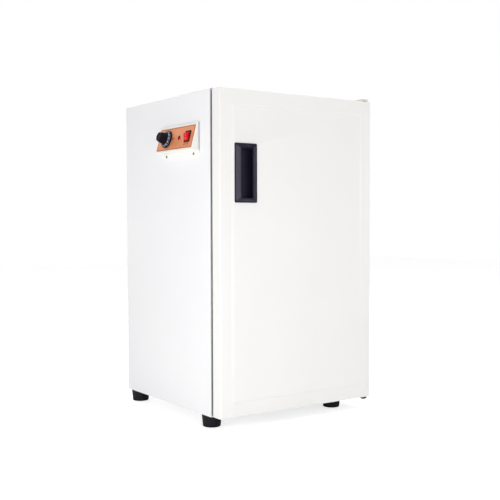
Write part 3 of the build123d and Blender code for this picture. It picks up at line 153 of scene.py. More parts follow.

# %% [markdown]
# ## Painted shade on the pod's front end
# The pod's front end is painted a shade greyer than the folded slope. This is painted shade, for an end that
# faces away from most of the light. Along the case a band 4 mm wide is painted darker still, as painted shadow in
# the joint. Only the colour of the coat changes there. Three masks on Object coordinates find the place: close to
# the pod's front, above its flange, and near the case. Each goes from none to full between two distances in
# millimetres.

# %% Painted shade on the pod's end
behind_front = (0.6, 0.3)
above_flange = (13.2, 13.8)
out_from_case = (4.2, 3.9)
pod_low, pod_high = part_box("control_pod")
tree = pod_coat.node_tree
shader = tree.nodes["Principled BSDF"]
place = add(tree, "ShaderNodeTexCoord", "Object")
x, y, z = add(tree, "ShaderNodeSeparateXYZ", "X", {"Vector": place}).node.outputs
on_front = add(tree, "ShaderNodeMapRange", "Result", {
    "Value": y, "From Min": pod_low[1] + behind_front[0] * MM, "From Max": pod_low[1] + behind_front[1] * MM})
# Painted shade: the pod's end face, above its flange, is coloured greyer than the slope.
on_shaded_end = add(tree, "ShaderNodeMapRange", "Result", {
    "Value": z, "From Min": pod_low[2] + above_flange[0] * MM, "From Max": pod_low[2] + above_flange[1] * MM,
    "To Max": on_front})
# Painted shadow in the joint: a band within about 4 mm of the case is coloured darker.
in_joint_shadow = add(tree, "ShaderNodeMapRange", "Result", {
    "Value": x, "From Min": pod_high[0] - out_from_case[0] * MM, "From Max": pod_high[0] - out_from_case[1] * MM})
# Painted shade on the end face (#E9E7E1), and painted shadow in the joint along the case (#CBC7CB).
painted_end_shade = add(tree, "ShaderNodeMix", "Result", {
    "Factor": in_joint_shadow, "A": linear("#E9E7E1"), "B": linear("#CBC7CB")}, data_type="RGBA")
slope_colour = shader.inputs["Base Color"].links[0].from_socket
feed(tree, shader, Base_Color=add(tree, "ShaderNodeMix", "Result", {
    "Factor": on_shaded_end, "A": slope_colour, "B": painted_end_shade}, data_type="RGBA"))
print("the pod's coat has", len(tree.nodes), "nodes")

# %% [markdown]
# ## Stainless and plated steel
# The chamber is brushed stainless sheet, the shelves are electropolished wire and the small parts are zinc
# plated. Brushing is scratches about 0.1 mm apart and centimetres long, which the eye sees as a sheen drawn out
# along them. They are drawn 0.8 mm apart here, since finer ones would not show. A picture of brushed sheet
# would repeat, so noise stretched along one axis gives them, with the metal's own IOR left alone.

# %% Steels
scratch_pitch, scratch_length = 0.8, 60.0
metal_tone_size = 70


def brushed_metal(name, light, shade, along=(0, 0, 1), roughness=(0.28, 0.40), depth=0.01):
    """Metal with scratches along one axis: noise whose scale is small along it and large across it."""
    material, tree, shader, place = start(name, Metallic=1.0)
    stretch = [per_metre(scratch_length if a else scratch_pitch) for a in along]
    scratches = add(tree, "ShaderNodeTexNoise", "Fac", {
        "Vector": add(tree, "ShaderNodeMapping", "Vector", {"Vector": place, "Scale": stretch}),
        "Scale": 1.0, "Detail": 4.0, "Roughness": 0.6})
    gloss = add(tree, "ShaderNodeMapRange", "Result", {
        "Value": scratches, "From Min": 0.3, "From Max": 0.7, "To Min": roughness[0], "To Max": roughness[1]})
    feed(tree, shader, Base_Color=two_tones(tree, place, metal_tone_size, light, shade), Roughness=gloss,
         Normal=add(tree, "ShaderNodeBump", "Normal", {"Height": scratches, "Distance": depth * MM}))
    return material


stainless = brushed_metal("stainless_brushed", "#C9C9C6", "#B9B9B8", along=(0, 0, 1))
stainless_flat = brushed_metal("stainless_brushed_flat", "#C4C4C1", "#B4B4B2", along=(0, 1, 0))
wire_steel = brushed_metal("electropolished_wire", "#D6D6D8", "#C8C8CB", along=(0, 1, 0),
                           roughness=(0.12, 0.20), depth=0.004)
zinc = brushed_metal("zinc_plate", "#C2C4C2", "#A9ABA6", along=(1, 0, 0), roughness=(0.3, 0.45))
dull_zinc = brushed_metal("zinc_plate_dulled", "#94928E", "#7E7C75", along=(1, 0, 0), roughness=(0.4, 0.55))
brass = brushed_metal("drawn_brass", "#D2A86A", "#B98B52", along=(0, 1, 0), roughness=(0.22, 0.34))
copper = brushed_metal("drawn_copper", "#C98A6A", "#A96C50", along=(0, 0, 1), roughness=(0.25, 0.38))
sheath = brushed_metal("heater_sheath_oxide", "#6E6863", "#4C4642", along=(0, 1, 0), roughness=(0.42, 0.6))
print("metals", stainless.name, wire_steel.name, zinc.name, brass.name, copper.name, sheath.name)

# %% [markdown]
# ## Mouldings and rubber
# The pull, knob, switch frame and inlet are black ABS with a spark-eroded grain about 0.3 mm across, which the
# eye sees as a satin sheen with a bluish cast in soft light. The feet are moulded rubber, and duller. The pale
# caps, the red rocker and the printing inks are made the same way: a base colour in two tones, with the grain in
# the bump. Some have less specular light than plain plastic, because grain this fine scatters it more than the
# bump can show.

# %% Mouldings and rubber
mould_tone_size, mould_gloss_size = 12, 6


def moulding(name, light, shade, grain=0.35, depth=0.01, roughness=(0.38, 0.48), **values):
    """Moulded plastic or rubber: a slow drift of tone, and fine cells as the mould's grain."""
    material, tree, shader, place = start(name, IOR=1.5, **values)
    cells = add(tree, "ShaderNodeTexVoronoi", "Distance", {"Vector": place, "Scale": per_metre(grain)})
    feed(tree, shader, Base_Color=two_tones(tree, place, mould_tone_size, light, shade),
         Roughness=blotches(tree, place, mould_gloss_size, *roughness),
         Normal=add(tree, "ShaderNodeBump", "Normal", {"Height": cells, "Distance": depth * MM}))
    return material


dull = {"Specular_IOR_Level": 0.2}
black_abs = moulding("black_abs", "#17161B", "#111014", **dull)
pull_black = moulding("black_abs_pull", "#1A1825", "#16141F", grain=0.5, depth=0.006, roughness=(0.3, 0.38),
                      Specular_IOR_Level=0.27, Specular_Tint=linear("#DCD8FF"))
knob_black = moulding("black_abs_knob", "#1A171E", "#151318", grain=0.5, depth=0.004, roughness=(0.3, 0.38),
                      Specular_IOR_Level=0.035)
black_gloss = moulding("black_abs_gloss", "#0E0E13", "#0A0A0D", grain=0.6, depth=0.003, roughness=(0.2, 0.28),
                       **dull)
black_steel = moulding("black_oxide_steel", "#232226", "#17171A", roughness=(0.35, 0.5))
foot_rubber = moulding("moulded_rubber", "#17151C", "#121015", grain=0.5, depth=0.02, roughness=(0.55, 0.7), **dull)
seal_rubber = moulding("seal_pvc", "#4A464A", "#413D41", grain=0.6, depth=0.006, roughness=(0.45, 0.55))
beige_cap = moulding("beige_cap_plastic", "#F0EADB", "#E7E0D1", roughness=(0.35, 0.45))
nylon = moulding("natural_nylon", "#E4E0D2", "#D8D3C3", roughness=(0.35, 0.45))
white_block = moulding("white_polyamide", "#E8E6DE", "#DCD9CF")
red_switch = moulding("red_polycarbonate", "#E60D17", "#DA0A13", grain=0.8, depth=0.003, roughness=(0.22, 0.3),
                      Specular_IOR_Level=0.12)
pale_ink = moulding("pale_print", "#B9C0D6", "#A6ADC6", roughness=(0.45, 0.55), **dull)
brown_ink = moulding("brown_print", "#8E3E1A", "#823616", roughness=(0.45, 0.55), **dull)
loom_sleeve = moulding("loom_sleeve", "#2B2B2E", "#202022", grain=1.4, depth=0.15, roughness=(0.5, 0.65))
print("mouldings", black_abs.name, foot_rubber.name, seal_rubber.name, red_switch.name)

# %% [markdown]
# ## Anodised faceplate
# The plate under the knob is thin aluminium, brushed along its length and dyed copper. The dye and its clear
# seal hide most of the metal's shine, so only a third of it is left. A darker line about 2.6 mm wide runs round
# the edge. It could be a separate strip, but on the real plate it is part of the dye, so it is masked here in
# the plate's own plane. A Mapping node of type Texture turns Object coordinates into that plane: x along the
# plate, y up its slope, with the middle of the plate at nought.

# %% Faceplate
pod_tilt = math.radians(14.5)
plate_across = Vector((0, -1, 0))
plate_up = Vector((math.sin(pod_tilt), 0, math.cos(pod_tilt)))
plate_out = Vector((-math.cos(pod_tilt), 0, math.sin(pod_tilt)))
plate_turn = Matrix((plate_across, plate_up, plate_out)).transposed()
plate_low, plate_high = (Vector(corner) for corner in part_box("faceplate"))
plate_middle = (plate_low + plate_high) / 2
plate_length = plate_high.y - plate_low.y
plate_height = (plate_high.z - plate_low.z) / math.cos(pod_tilt)
border, border_blur = 2.6 * MM, 0.1 * MM
brushing_length, brushing_pitch, brushing_depth = 30, 0.5, 0.008


def dyed_plate(name):
    """Anodised sheet scratched along x. The border is where |x| or |y| is past its limit, half a side less 2.6 mm."""
    material, tree, shader, place = start(name, Metallic=0.3)
    flat = add(tree, "ShaderNodeMapping", "Vector", {
        "Vector": place, "Location": plate_middle, "Rotation": plate_turn.to_euler()}, vector_type="TEXTURE")
    past_limits = add(tree, "ShaderNodeVectorMath", "Vector", {
        0: add(tree, "ShaderNodeVectorMath", "Vector", {0: flat}, operation="ABSOLUTE"),
        1: (plate_length / 2 - border, plate_height / 2 - border, 0)}, operation="SUBTRACT")
    past_x, past_y, _ = add(tree, "ShaderNodeSeparateXYZ", "X", {"Vector": past_limits}).node.outputs
    on_border = add(tree, "ShaderNodeMapRange", "Result", {
        "Value": add(tree, "ShaderNodeMath", "Value", {0: past_x, 1: past_y}, operation="MAXIMUM"),
        "From Min": -border_blur, "From Max": border_blur})
    stretch = (per_metre(brushing_length), per_metre(brushing_pitch), per_metre(brushing_length))
    scratches = add(tree, "ShaderNodeTexNoise", "Fac", {
        "Vector": add(tree, "ShaderNodeMapping", "Vector", {"Vector": flat, "Scale": stretch}),
        "Scale": 1.0, "Detail": 3.0})
    dye = add(tree, "ShaderNodeMix", "Result", {
        "Factor": scratches, "A": linear("#E69669"), "B": linear("#D88657")}, data_type="RGBA")
    colour = add(tree, "ShaderNodeMix", "Result", {
        "Factor": on_border, "A": dye, "B": linear("#B9693A")}, data_type="RGBA")
    feed(tree, shader, Base_Color=colour, Roughness=blotches(tree, flat, 20, 0.34, 0.44),
         Normal=add(tree, "ShaderNodeBump", "Normal", {"Height": scratches, "Distance": brushing_depth * MM}))
    return material


copper_plate = dyed_plate("anodised_copper_plate")
print("plate", [round(v / MM, 1) for v in (plate_length, plate_height)], "mm, middle", plate_middle)

# %% [markdown]
# ## Lamp lens and insulation
# The pilot lens is red polycarbonate over a neon lamp, unlit, so it looks almost black at its rim and red
# where light gets through. Mineral wool fills the walls: tangled fibres, matt, mostly seen from nowhere, but
# kept as a finish of its own because the part is used with its case open too.

# %% Lens and wool
fibre_size, fibre_depth = 2.0, 0.6


def lens_finish(name):
    """Unlit red polycarbonate: smooth, with a tenth of the light going through and a slight drift of its red."""
    material, tree, shader, place = start(name, IOR=1.58, Transmission_Weight=0.1, Specular_IOR_Level=0.05)
    feed(tree, shader, Base_Color=two_tones(tree, place, 4, "#8E0824", "#6E051B"),
         Roughness=blotches(tree, place, 3, 0.05, 0.12))
    return material


def wool_finish(name):
    """Mineral wool: two ochre tones in tangled cells about 2 mm across, deep enough to look fibrous."""
    material, tree, shader, place = start(name, Diffuse_Roughness=1.0, IOR=1.3)
    fibres = add(tree, "ShaderNodeTexNoise", "Fac", {
        "Vector": place, "Scale": per_metre(fibre_size), "Detail": 6.0, "Distortion": 2.0})
    colour = add(tree, "ShaderNodeMix", "Result", {
        "Factor": fibres, "A": linear("#C9B37C"), "B": linear("#A88F58")}, data_type="RGBA")
    feed(tree, shader, Base_Color=colour, Roughness=blotches(tree, place, 8, 0.85, 0.95),
         Normal=add(tree, "ShaderNodeBump", "Normal", {"Height": fibres, "Distance": fibre_depth * MM}))
    return material


red_lens = lens_finish("red_lens")
wool = wool_finish("mineral_wool")
print("lens and wool", red_lens.name, wool.name)

# %% [markdown]
# ## Give every node its finish
# Each CAD object keeps its mesh and place, and only its material slots change. They could be set one by one,
# but a table from finish to nodes shows at a glance which parts are made of the same stuff.

# %% Assign the finishes
finish_of = {
    case_coat: "outer_case back_panel base_pan",
    inner_coat: "front_frame door_liner",
    door_coat: "door_skin",
    pod_coat: "control_pod",
    stainless: "inner_tank shelf_uprights shelf_runners",
    stainless_flat: "heater_cover",
    wire_steel: "shelf_lower shelf_middle shelf_upper",
    zinc: "pod_screws back_screws foot_screws hinge_screws inlet_screws thermostat_screws heater_clips sensor_clips "
          "upper_hinge_bracket upper_hinge_pin lower_hinge_pin thermostat_shaft thermal_cutout",
    black_steel: "lower_hinge_bracket",
    copper_plate: "faceplate",
    sheath: "heater_element",
    copper: "sensor_bulb",
    brass: "inlet_pins",
    wool: "case_insulation door_insulation",
    foot_rubber: "foot_front_left foot_front_right foot_rear_left foot_rear_right",
    seal_rubber: "door_gasket gasket_magnets capillary_grommet",
    pull_black: "handle_cup",
    black_abs: "switch_housing power_inlet thermostat_body pilot_lamp",
    knob_black: "knob",
    loom_sleeve: "wiring_loom",
    red_switch: "rocker",
    red_lens: "pilot_lens",
    beige_cap: "upper_hinge_cap",
    white_block: "terminal_block",
    nylon: "upper_hinge_bush lower_hinge_bush hinge_washer",
}
coated = set()
for material, names in finish_of.items():
    for name in names.split():
        node = bpy.data.objects[name]
        if not node.material_slots:
            node.data.materials.append(material)
        for slot in node.material_slots:
            slot.link = "OBJECT"
            slot.material = material
        coated.add(name)
print("finished", len(coated), "of", len(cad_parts), "still bare", sorted(set(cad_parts) - coated))

# %% [markdown]
# ## Surfaces from arrays
# The pieces below are either turned, such as the knob, or built on rounded rectangles, such as the pull. Both
# are a grid of points: one parameter runs round the piece and the other along its outline. They could be shaped
# by hand from a cylinder or a cube, but an outline in millimetres is easier to set against the real object, so
# one function turns any such grid into a mesh. Outlines run from the back or the inside towards the outside.

# %% Grids
UPRIGHT = np.eye(3)
FRONT = np.array(((1, 0, 0), (0, 0, 1), (0, -1, 0)))
NOWHERE = np.zeros(3)
largest_cut = 0.45


def softened(rows, radii, steps=4):
    """A bent line whose inner corners are cut back by their radii and bridged by a quadratic curve.

    No cut is longer than 0.45 of the shorter line beside it, so that two cuts never meet.
    """
    rows = np.asarray(rows, float)
    back, ahead = rows[:-2] - rows[1:-1], rows[2:] - rows[1:-1]
    back_length, ahead_length = (np.linalg.norm(line, axis=1, keepdims=True) for line in (back, ahead))
    wanted = np.broadcast_to(np.reshape(radii, (-1, 1)), back_length.shape)
    cut = np.minimum(wanted, largest_cut * np.minimum(back_length, ahead_length))
    leave, arrive = rows[1:-1] + back / back_length * cut, rows[1:-1] + ahead / ahead_length * cut
    t = np.linspace(0, 1, steps).reshape(1, -1, 1)
    arcs = (1 - t) ** 2 * leave[:, None] + 2 * t * (1 - t) * rows[1:-1][:, None] + t**2 * arrive[:, None]
    return np.vstack([rows[:1], arcs.reshape(-1, rows.shape[1]), rows[-1:]])


def turned(rows, columns=96, ribs=0):
    """Rows of (radius r, height h, rib depth d) turned by an angle a: radius r + d cos(ribs a), height h."""
    radius, height, depth = np.asarray(rows, float).T[:, :, None]
    angle = np.linspace(0, 2 * math.pi, columns, endpoint=False)
    radius = radius + depth * np.cos(ribs * angle)
    return np.stack(np.broadcast_arrays(radius * np.cos(angle), radius * np.sin(angle), height), axis=-1)


def stacked(rows, steps=5):
    """Rows of (half x, half y, corner, level, middle x, middle y): each is a rounded rectangle at its level.

    A quarter circle of the corner's radius is moved out to each of the four corners in turn.
    """
    half_x, half_y, corner, level, middle_x, middle_y = np.asarray(rows, float).T[:, :, None]
    quarter = np.repeat(np.arange(4), steps)
    angle = quarter * math.pi / 2 + np.tile(np.linspace(0, math.pi / 2, steps), 4)
    sign_x, sign_y = np.array((1, -1, -1, 1))[quarter], np.array((1, 1, -1, -1))[quarter]
    x = middle_x + sign_x * (half_x - corner) + corner * np.cos(angle)
    y = middle_y + sign_y * (half_y - corner) + corner * np.sin(angle)
    return np.stack(np.broadcast_arrays(x, y, level), axis=-1)


print("a turned ring has", turned([(10, 0, 0), (10, 5, 0)]).shape, "points")

# %% [markdown]
# ## From grids to pieces
# A grid becomes a mesh when each point is joined to its neighbours by a quad. The two ends are closed with a
# face, unless the last ring joins the first. Every piece then rides on a body of the cabinet, takes its finish
# from a slot, and stands for the node that it replaces. Shading is smooth, but an edge sharper than 32 degrees
# stays an edge, which needs no extra points there.


# %% Pieces
def quads(rows, columns, loop):
    """Quads of the points (i, j), (i, j + 1), (i + 1, j + 1), (i + 1, j); with loop, the last ring joins the first."""
    row, column = np.meshgrid(np.arange(rows if loop else rows - 1), np.arange(columns), indexing="ij")
    after, above = (column + 1) % columns, (row + 1) % rows
    corners_of = (row * columns + column, row * columns + after, above * columns + after, above * columns + column)
    return np.stack(corners_of, axis=-1).reshape(-1, 4)


def show(name, mesh, body, material, replaced=(), sharp=32):
    """Makes the mesh a piece of the cabinet: smooth below the sharp angle, riding on its body."""
    mesh.polygons.foreach_set("use_smooth", np.ones(len(mesh.polygons), bool))
    mesh.set_sharp_from_angle(angle=math.radians(sharp))
    mesh.materials.append(material)
    made = bpy.data.objects.new(name, mesh)
    bpy.context.scene.collection.objects.link(made)
    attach(made, body)
    if replaced:
        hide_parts(*replaced)
    return made


def piece(name, body, material, grids, axes=UPRIGHT, origin=NOWHERE, replaced=(), loop=False):
    """Grids in millimetres as one object. Row i of axes is where local axis i points; origin is in metres."""
    faces, first = [], 0
    for grid in grids:
        rows, columns = grid.shape[:2]
        faces += (first + quads(rows, columns, loop)).tolist()
        if not loop:
            faces += [list(range(first + columns - 1, first - 1, -1))]
            faces += [list(range(first + (rows - 1) * columns, first + rows * columns))]
        first += rows * columns
    points = np.asarray(origin) + np.vstack([grid.reshape(-1, 3) for grid in grids]) @ axes * MM
    mesh = bpy.data.meshes.new(name)
    mesh.from_pydata(points.tolist(), [], faces)
    mesh.validate()
    return show(name, mesh, body, material, replaced)


print("two rings of four points make", len(quads(2, 4, False)), "quads")

# %% [markdown]
# ## Door: outer pan
# The door's skin is one pressed pan. Its front edges are drawn over a soft radius and its field stands about
# a millimetre proud. The slope round it is short above and below, where it shows as a faint line, and long at
# the sides, where it doesn't show. A bevelled box would give the edge but not the slope, so the pan is one
# closed band of rounded rectangles: up the outside, over the edge, across the field to the opening for the
# pull, and back along the inside.

# %% Door pan


def box_mm(node):
    """A node's lowest and highest corner in millimetres: its corners in metres over 0.001."""
    return [np.array(corner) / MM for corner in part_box(node)]


def from_front(low, high):
    """A box seen from the front: the middle (x, z) and the half size (x, z) of its outline."""
    return (low + high)[[0, 2]] / 2, (high - low)[[0, 2]] / 2


door_low, door_high = box_mm("door_skin")
door_middle, (half_width, half_height) = from_front(door_low, door_high)
cup_low, cup_high = box_mm("handle_cup")
cup_middle, cup_half = from_front(cup_low, cup_high)
sheet, field_rise = 1.2, 1.2
field_face, pan_back = -door_low[1], -door_high[1]
pan_face = field_face - field_rise
field_inset, field_slope = 30.0, 2.5
side_start, side_end = 25.5, 33.3
outer_corner, inner_corner, opening_corner = 3.0, 2.0, 1.5
behind_rim = 1.3
opening = cup_half - behind_rim


def framed(inset, corner, level, at_sides=None):
    """A ring of the door's outline, shrunk by an inset, or at its two sides by one of their own."""
    return (half_width - (inset if at_sides is None else at_sides), half_height - inset, corner, level, *door_middle)


pan_rows = [
    framed(sheet, inner_corner, pan_back),
    framed(0, outer_corner, pan_back),
    framed(0, outer_corner, pan_face),
    framed(field_inset, outer_corner, pan_face, side_start),
    framed(field_inset + field_slope, outer_corner, field_face, side_end),
    (*opening, opening_corner, field_face, *cup_middle),
    (*opening, opening_corner, pan_face - sheet, *cup_middle),
    framed(sheet, inner_corner, pan_face - sheet),
]
pan_radii = [0.3, 3.2, 1.2, 1.2, 0.3, 0.1]
door_pan = piece("door_pan", "door", door_coat,
                 [stacked(softened(pan_rows, pan_radii, steps=6), steps=6)],
                 FRONT, replaced=["door_skin"], loop=True)
print("door pan", len(door_pan.data.vertices), "points, field", field_face, "mm in front of the axis")

# %% [markdown]
# ## Door: recessed pull
# The pull is one black moulding let into the door: a thin rim, four sloping sides that differ, and a pocket
# with an undercut for the fingers behind its right lip. The sides catch the light differently, which is what
# one sees of it, so the slopes and the small roundings between them matter more than the rim. Cuts in a box
# would leave them flat and sharp, so the pull is a stack of rounded rectangles whose middle moves to the right
# as they go in.

# %% Recessed pull
rim_face, cup_back = -cup_low[1], -cup_high[1]
rim_width, rim_corner, inner_rim_corner, body_corner, pocket_corner = 2.6, 2.6, 1.8, 1.2, 1.2
left_slope, right_slope, end_slope = 18.5, 3.6, 7.5
slope_depth, lip_depth, floor_sheet, undercut_wall = 6.0, 3.0, 1.6, 3.1
slope_face = field_face - slope_depth
lip_face = slope_face - lip_depth
pocket_face = cup_back + floor_sheet
pocket_low, pocket_high = cup_low[0] + rim_width + left_slope, cup_high[0] - rim_width - right_slope
undercut_high = cup_high[0] - undercut_wall
pocket_half = cup_half[1] - rim_width - end_slope
body_inset = 1.5
body_half = cup_half - body_inset


def slot_ring(low, high, level, inset=0.0):
    """A ring of the pocket between two x values, as high as the pocket, both less an inset."""
    half, middle = (high - low) / 2, (low + high) / 2
    return (half - inset, pocket_half - inset, pocket_corner - inset / 2, level, middle, cup_middle[1])


pull_rows = [
    (*body_half, body_corner, cup_back, *cup_middle),
    (*body_half, body_corner, field_face, *cup_middle),
    (*cup_half, rim_corner, field_face, *cup_middle),
    (*cup_half, rim_corner, rim_face, *cup_middle),
    (*(cup_half - rim_width), inner_rim_corner, rim_face, *cup_middle),
    slot_ring(pocket_low, pocket_high, slope_face),
    slot_ring(pocket_low, pocket_high, lip_face),
    slot_ring(pocket_low, undercut_high, lip_face),
    slot_ring(pocket_low, undercut_high, pocket_face),
    slot_ring(pocket_low, undercut_high, pocket_face, inset=1.0),
]
pull_radii = [0.1, 0.1, 0.9, 0.9, 1.6, 0.3, 0.3, 0.5]
piece("recessed_pull", "door", pull_black,
      [stacked(softened(pull_rows, pull_radii, steps=5), steps=7)], FRONT, replaced=["handle_cup"])
print("pull", (2 * cup_half).round(1), "mm, pocket", round(rim_face - pocket_face, 1), "mm deep")

# %% [markdown]
# ## Door: seal
# Between the door and the case runs a hollow magnetic seal of soft PVC. On the real cabinet it is the dark
# strip down the left side of the door. Its outer face has a bead and a groove, so the strip shows two fine
# lines, which a plain strip would not have. The profile is one closed loop, carried round the door's outline.
# Each of its points is an inset from that outline and a height over the case.

# %% Seal
seal_low, seal_high = box_mm("door_gasket")
seal_thickness = seal_high[1] - seal_low[1]
seal_profile = [(14.8, 0.0), (3.2, 0.0), (1.3, 1.0), (0.9, 2.7), (2.4, 3.6), (0.9, 4.5), (0.5, seal_thickness),
                (17.5, seal_thickness)]
seal_corner, seal_radii = 4.0, [0.8, 0.8, 0.6, 0.8, 0.6, 0.4]
seal_rows = [framed(inset, seal_corner, rise - seal_high[1]) for inset, rise in seal_profile]
piece("door_seal", "door", seal_rubber, [stacked(softened(seal_rows, seal_radii), steps=5)],
      FRONT, replaced=["door_gasket"], loop=True)
print("seal", round(seal_thickness, 1), "mm thick")

# %% [markdown]
# ## Rubber feet
# Four moulded feet taper towards the floor, with a rounded lower edge, a shallow ring near the top where the
# mould parted, and a bore below for the screw. A cone would have neither the ring nor the soft edge, so each
# foot is one outline turned about its own axis.

# %% Feet
foot_outline = softened([
    (7.0, 18.5, 0), (7.0, 1.2, 0), (8.2, 0.0, 0), (18.3, 0.0, 0), (20.4, 20.0, 0), (20.6, 22.2, 0), (20.95, 22.6, 0),
    (21.0, 26.2, 0), (20.6, 26.5, 0), (3.0, 26.5, 0)], [0.5, 0.8, 2.2, 0.5, 0.2, 0.2, 0.3, 0.2])
for foot in ("foot_front_left", "foot_front_right", "foot_rear_left", "foot_rear_right"):
    low, high = np.array(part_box(foot))
    piece(foot + "_moulded", "cabinet", foot_rubber, [turned(foot_outline, 64)],
          origin=(low + high) / 2 * (1, 1, 0), replaced=[foot])
print("feet", len(foot_outline), "rows each")

# %% [markdown]
# ## Wire shelves
# Each shelf is a bent steel rod with wires welded across it, and two thin braces below them. The solids have
# square rods, and the real ones are round, which is what makes the highlights run along them. A circle is
# carried along each path, closed for the frame and straight for the wires.

# %% Shelves
frame_rod, frame_corner = 3.0, 12.0
shelf_wire, shelf_wires = 1.6, 11
brace_wire, brace_from_end = 0.7, 70


def rod(path, radius, sides=10, closed=False):
    """A circle of that radius carried along level points: across the path and upwards, at each point."""
    path = np.asarray(path, float)
    ahead = np.roll(path, -1, axis=0) - np.roll(path, 1, axis=0) if closed else np.gradient(path, axis=0)
    ahead /= np.linalg.norm(ahead, axis=1, keepdims=True)
    across = np.cross((0, 0, 1), ahead)
    angle = np.linspace(0, 2 * math.pi, sides, endpoint=False)[None, :, None]
    return path[:, None] + radius * (np.cos(angle) * across[:, None] + np.sin(angle) * np.array((0, 0, 1)))


for shelf in ("shelf_lower", "shelf_middle", "shelf_upper"):
    low, high = box_mm(shelf)
    x, y = (low[:2] + high[:2]) / 2
    half_x, half_y = (high[:2] - low[:2]) / 2 - frame_rod
    level = high[2] - frame_rod
    frame_path = stacked([(half_x, half_y, frame_corner, level, x, y)], steps=7)[0]
    wire_places = [x + half_x * (2 * (i + 1) / (shelf_wires + 1) - 1) for i in range(shelf_wires)]
    wires = [rod([(wire_x, y + side, level) for side in (-half_y, 0, half_y)], shelf_wire) for wire_x in wire_places]
    brace_level = level - shelf_wire - brace_wire
    braces = [rod([(x + side, y + end, brace_level) for side in (-half_x, 0, half_x)], brace_wire, 8)
              for end in (brace_from_end - half_y, half_y - brace_from_end)]
    piece(shelf + "_round", "cabinet", wire_steel, wires + braces, replaced=[shelf])
    piece(shelf + "_frame", "cabinet", wire_steel,
          [rod(frame_path, frame_rod, 14, closed=True)], loop=True)
print("shelf wires", shelf_wires, "each", 2 * shelf_wire, "mm")

# %% [markdown]
# ## Soft edges on folded sheet and mouldings
# The solids of the case, the pod and the small mouldings are right in shape, but every fold is a knife edge,
# and a real edge is what catches the light. For these a copy of the node's mesh is merged, its flat triangles
# are joined, and a Bevel modifier rounds its edges. The long bends of the case get the full width and its cut
# edges about a seventh of it.

# %% Eased copies
merged_within, on_line_within = 1e-6, 1e-5
flat_below, eased_above = math.radians(1), math.radians(40)
cut_edge_weight = 0.15


def eased(node, material, width, segments=3, bends=()):
    """A merged copy with a Bevel. Edges along a bend (axis a at p, axis b at q) get full width, others less."""
    work = bmesh.new()
    work.from_mesh(bpy.data.objects[node].data)
    bmesh.ops.remove_doubles(work, verts=work.verts, dist=merged_within)
    bmesh.ops.dissolve_limit(work, angle_limit=flat_below, verts=work.verts, edges=work.edges)
    weight = work.edges.layers.float.new("bevel_weight_edge")
    for edge in work.edges:
        if len(edge.link_faces) == 2 and edge.calc_face_angle() > eased_above:
            on_bend = any(all(abs(v.co[a] - p) < on_line_within and abs(v.co[b] - q) < on_line_within
                              for v in edge.verts) for a, p, b, q in bends)
            edge[weight] = 1.0 if on_bend or not bends else cut_edge_weight
    mesh = bpy.data.meshes.new(node + "_eased")
    work.to_mesh(mesh)
    work.free()
    made = show(node + "_eased", mesh, "cabinet", material, [node], sharp=60)
    bevel = made.modifiers.new("soft_edges", "BEVEL")
    bevel.width, bevel.segments, bevel.limit_method = width * MM, segments, "WEIGHT"
    bevel.harden_normals = True


case_low, case_high = (Vector(corner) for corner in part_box("outer_case"))
case_bends = [(0, side, 2, case_high.z) for side in (case_low.x, case_high.x)]
eased("outer_case", case_coat, 2.2, 4, case_bends)
eased("control_pod", pod_coat, 0.4)
eased("upper_hinge_cap", beige_cap, 0.8)
eased("lower_hinge_bracket", black_steel, 0.6)
eased("switch_housing", black_gloss, 0.35)
eased("power_inlet", black_abs, 0.5)
eased("faceplate", copper_plate, 0.2, 2)
eased("base_pan", case_coat, 0.5, 2)
eased("heater_cover", stainless_flat, 0.25, 2)

# %% [markdown]
# ## Control pod: knob
# The thermostat's knob is one black moulding. A wide skirt, sloping up from an upright rim, carries the
# numbers, and a tapered grip with fine ribs stands on it. The outline goes from the bore, under the skirt and
# over it to the top, and is turned. The ribs could be cut one by one, but they are a cosine on the radius that
# fades out at both ends, which rounds them too.

# %% Knob
across, upslope, outwards = (np.array(v) for v in (plate_across, plate_up, plate_out))
slope_axes = np.stack([across, upslope, outwards])
plate_sheet = 0.8


def on_slope(u, v, w=0.0):
    """A point u mm along the pod's slope from its middle, v mm up it and w mm off it, in metres."""
    return np.array(plate_middle) + (u * across + v * upslope + (w - plate_sheet / 2) * outwards) * MM


knob_u = -35.0
bore, hub, hollow = 3.2, 7.6, 16.2
bore_top, hollow_top, underside = 18.4, 4.2, 1.3
rim_radius, rim_top, cone_radius, cone_top = 19.2, 4.8, 12.3, 9.0
grip_low, grip_high, knob_top, dish = (12.0, 10.0), (9.9, 22.2), 23.25, 22.85
rib_count, rib_depth, ribs_low, ribs_high = 36, 0.2, 10.8, 21.4
side_height = np.linspace(grip_low[1] + 0.4, grip_high[1] - 0.4, 14)
side_share = (side_height - grip_low[1]) / (grip_high[1] - grip_low[1])
side_radius = grip_low[0] + side_share * (grip_high[0] - grip_low[0])
side_depth = rib_depth * np.clip(np.minimum(side_height - ribs_low, ribs_high - side_height), 0, 1)
skirt_radii = [0.1, 0.1, 0.1, 0.1, 0.1, 0.1, 0.3, 0.7, 0.6]
knob_rows = np.vstack([
    softened([(bore, bore_top, 0), (bore, underside, 0), (hub, underside, 0), (hub, hollow_top, 0),
              (hollow, hollow_top, 0), (hollow, underside, 0), (rim_radius - 0.3, underside, 0),
              (rim_radius, 1.8, 0), (rim_radius, rim_top, 0), (cone_radius, cone_top, 0), (*grip_low, 0)],
             skirt_radii),
    np.stack([side_radius, side_height, side_depth], axis=-1),
    softened([(*grip_high, 0), (9.4, knob_top, 0), (7.6, knob_top, 0), (7.0, dish, 0), (0.6, dish, 0)],
             [1.1, 0.4, 0.3], steps=6),
])
knob = piece("thermostat_knob", "knob", knob_black, [turned(knob_rows, 216, rib_count)],
             slope_axes, on_slope(knob_u, 0), replaced=["knob"])
print("knob", len(knob.data.vertices), "points, ribs", rib_count)

# %% [markdown]
# ## Print as thin shapes
# Everything printed on the cabinet is a flat shape a twentieth of a millimetre off its surface. It could be
# painted by a shader, but a shape of its own stays sharp from close by. Blender's own text gives the letters.

# %% Flat print
capital_share = 0.7
stroke_added, film = 0.25, 0.05


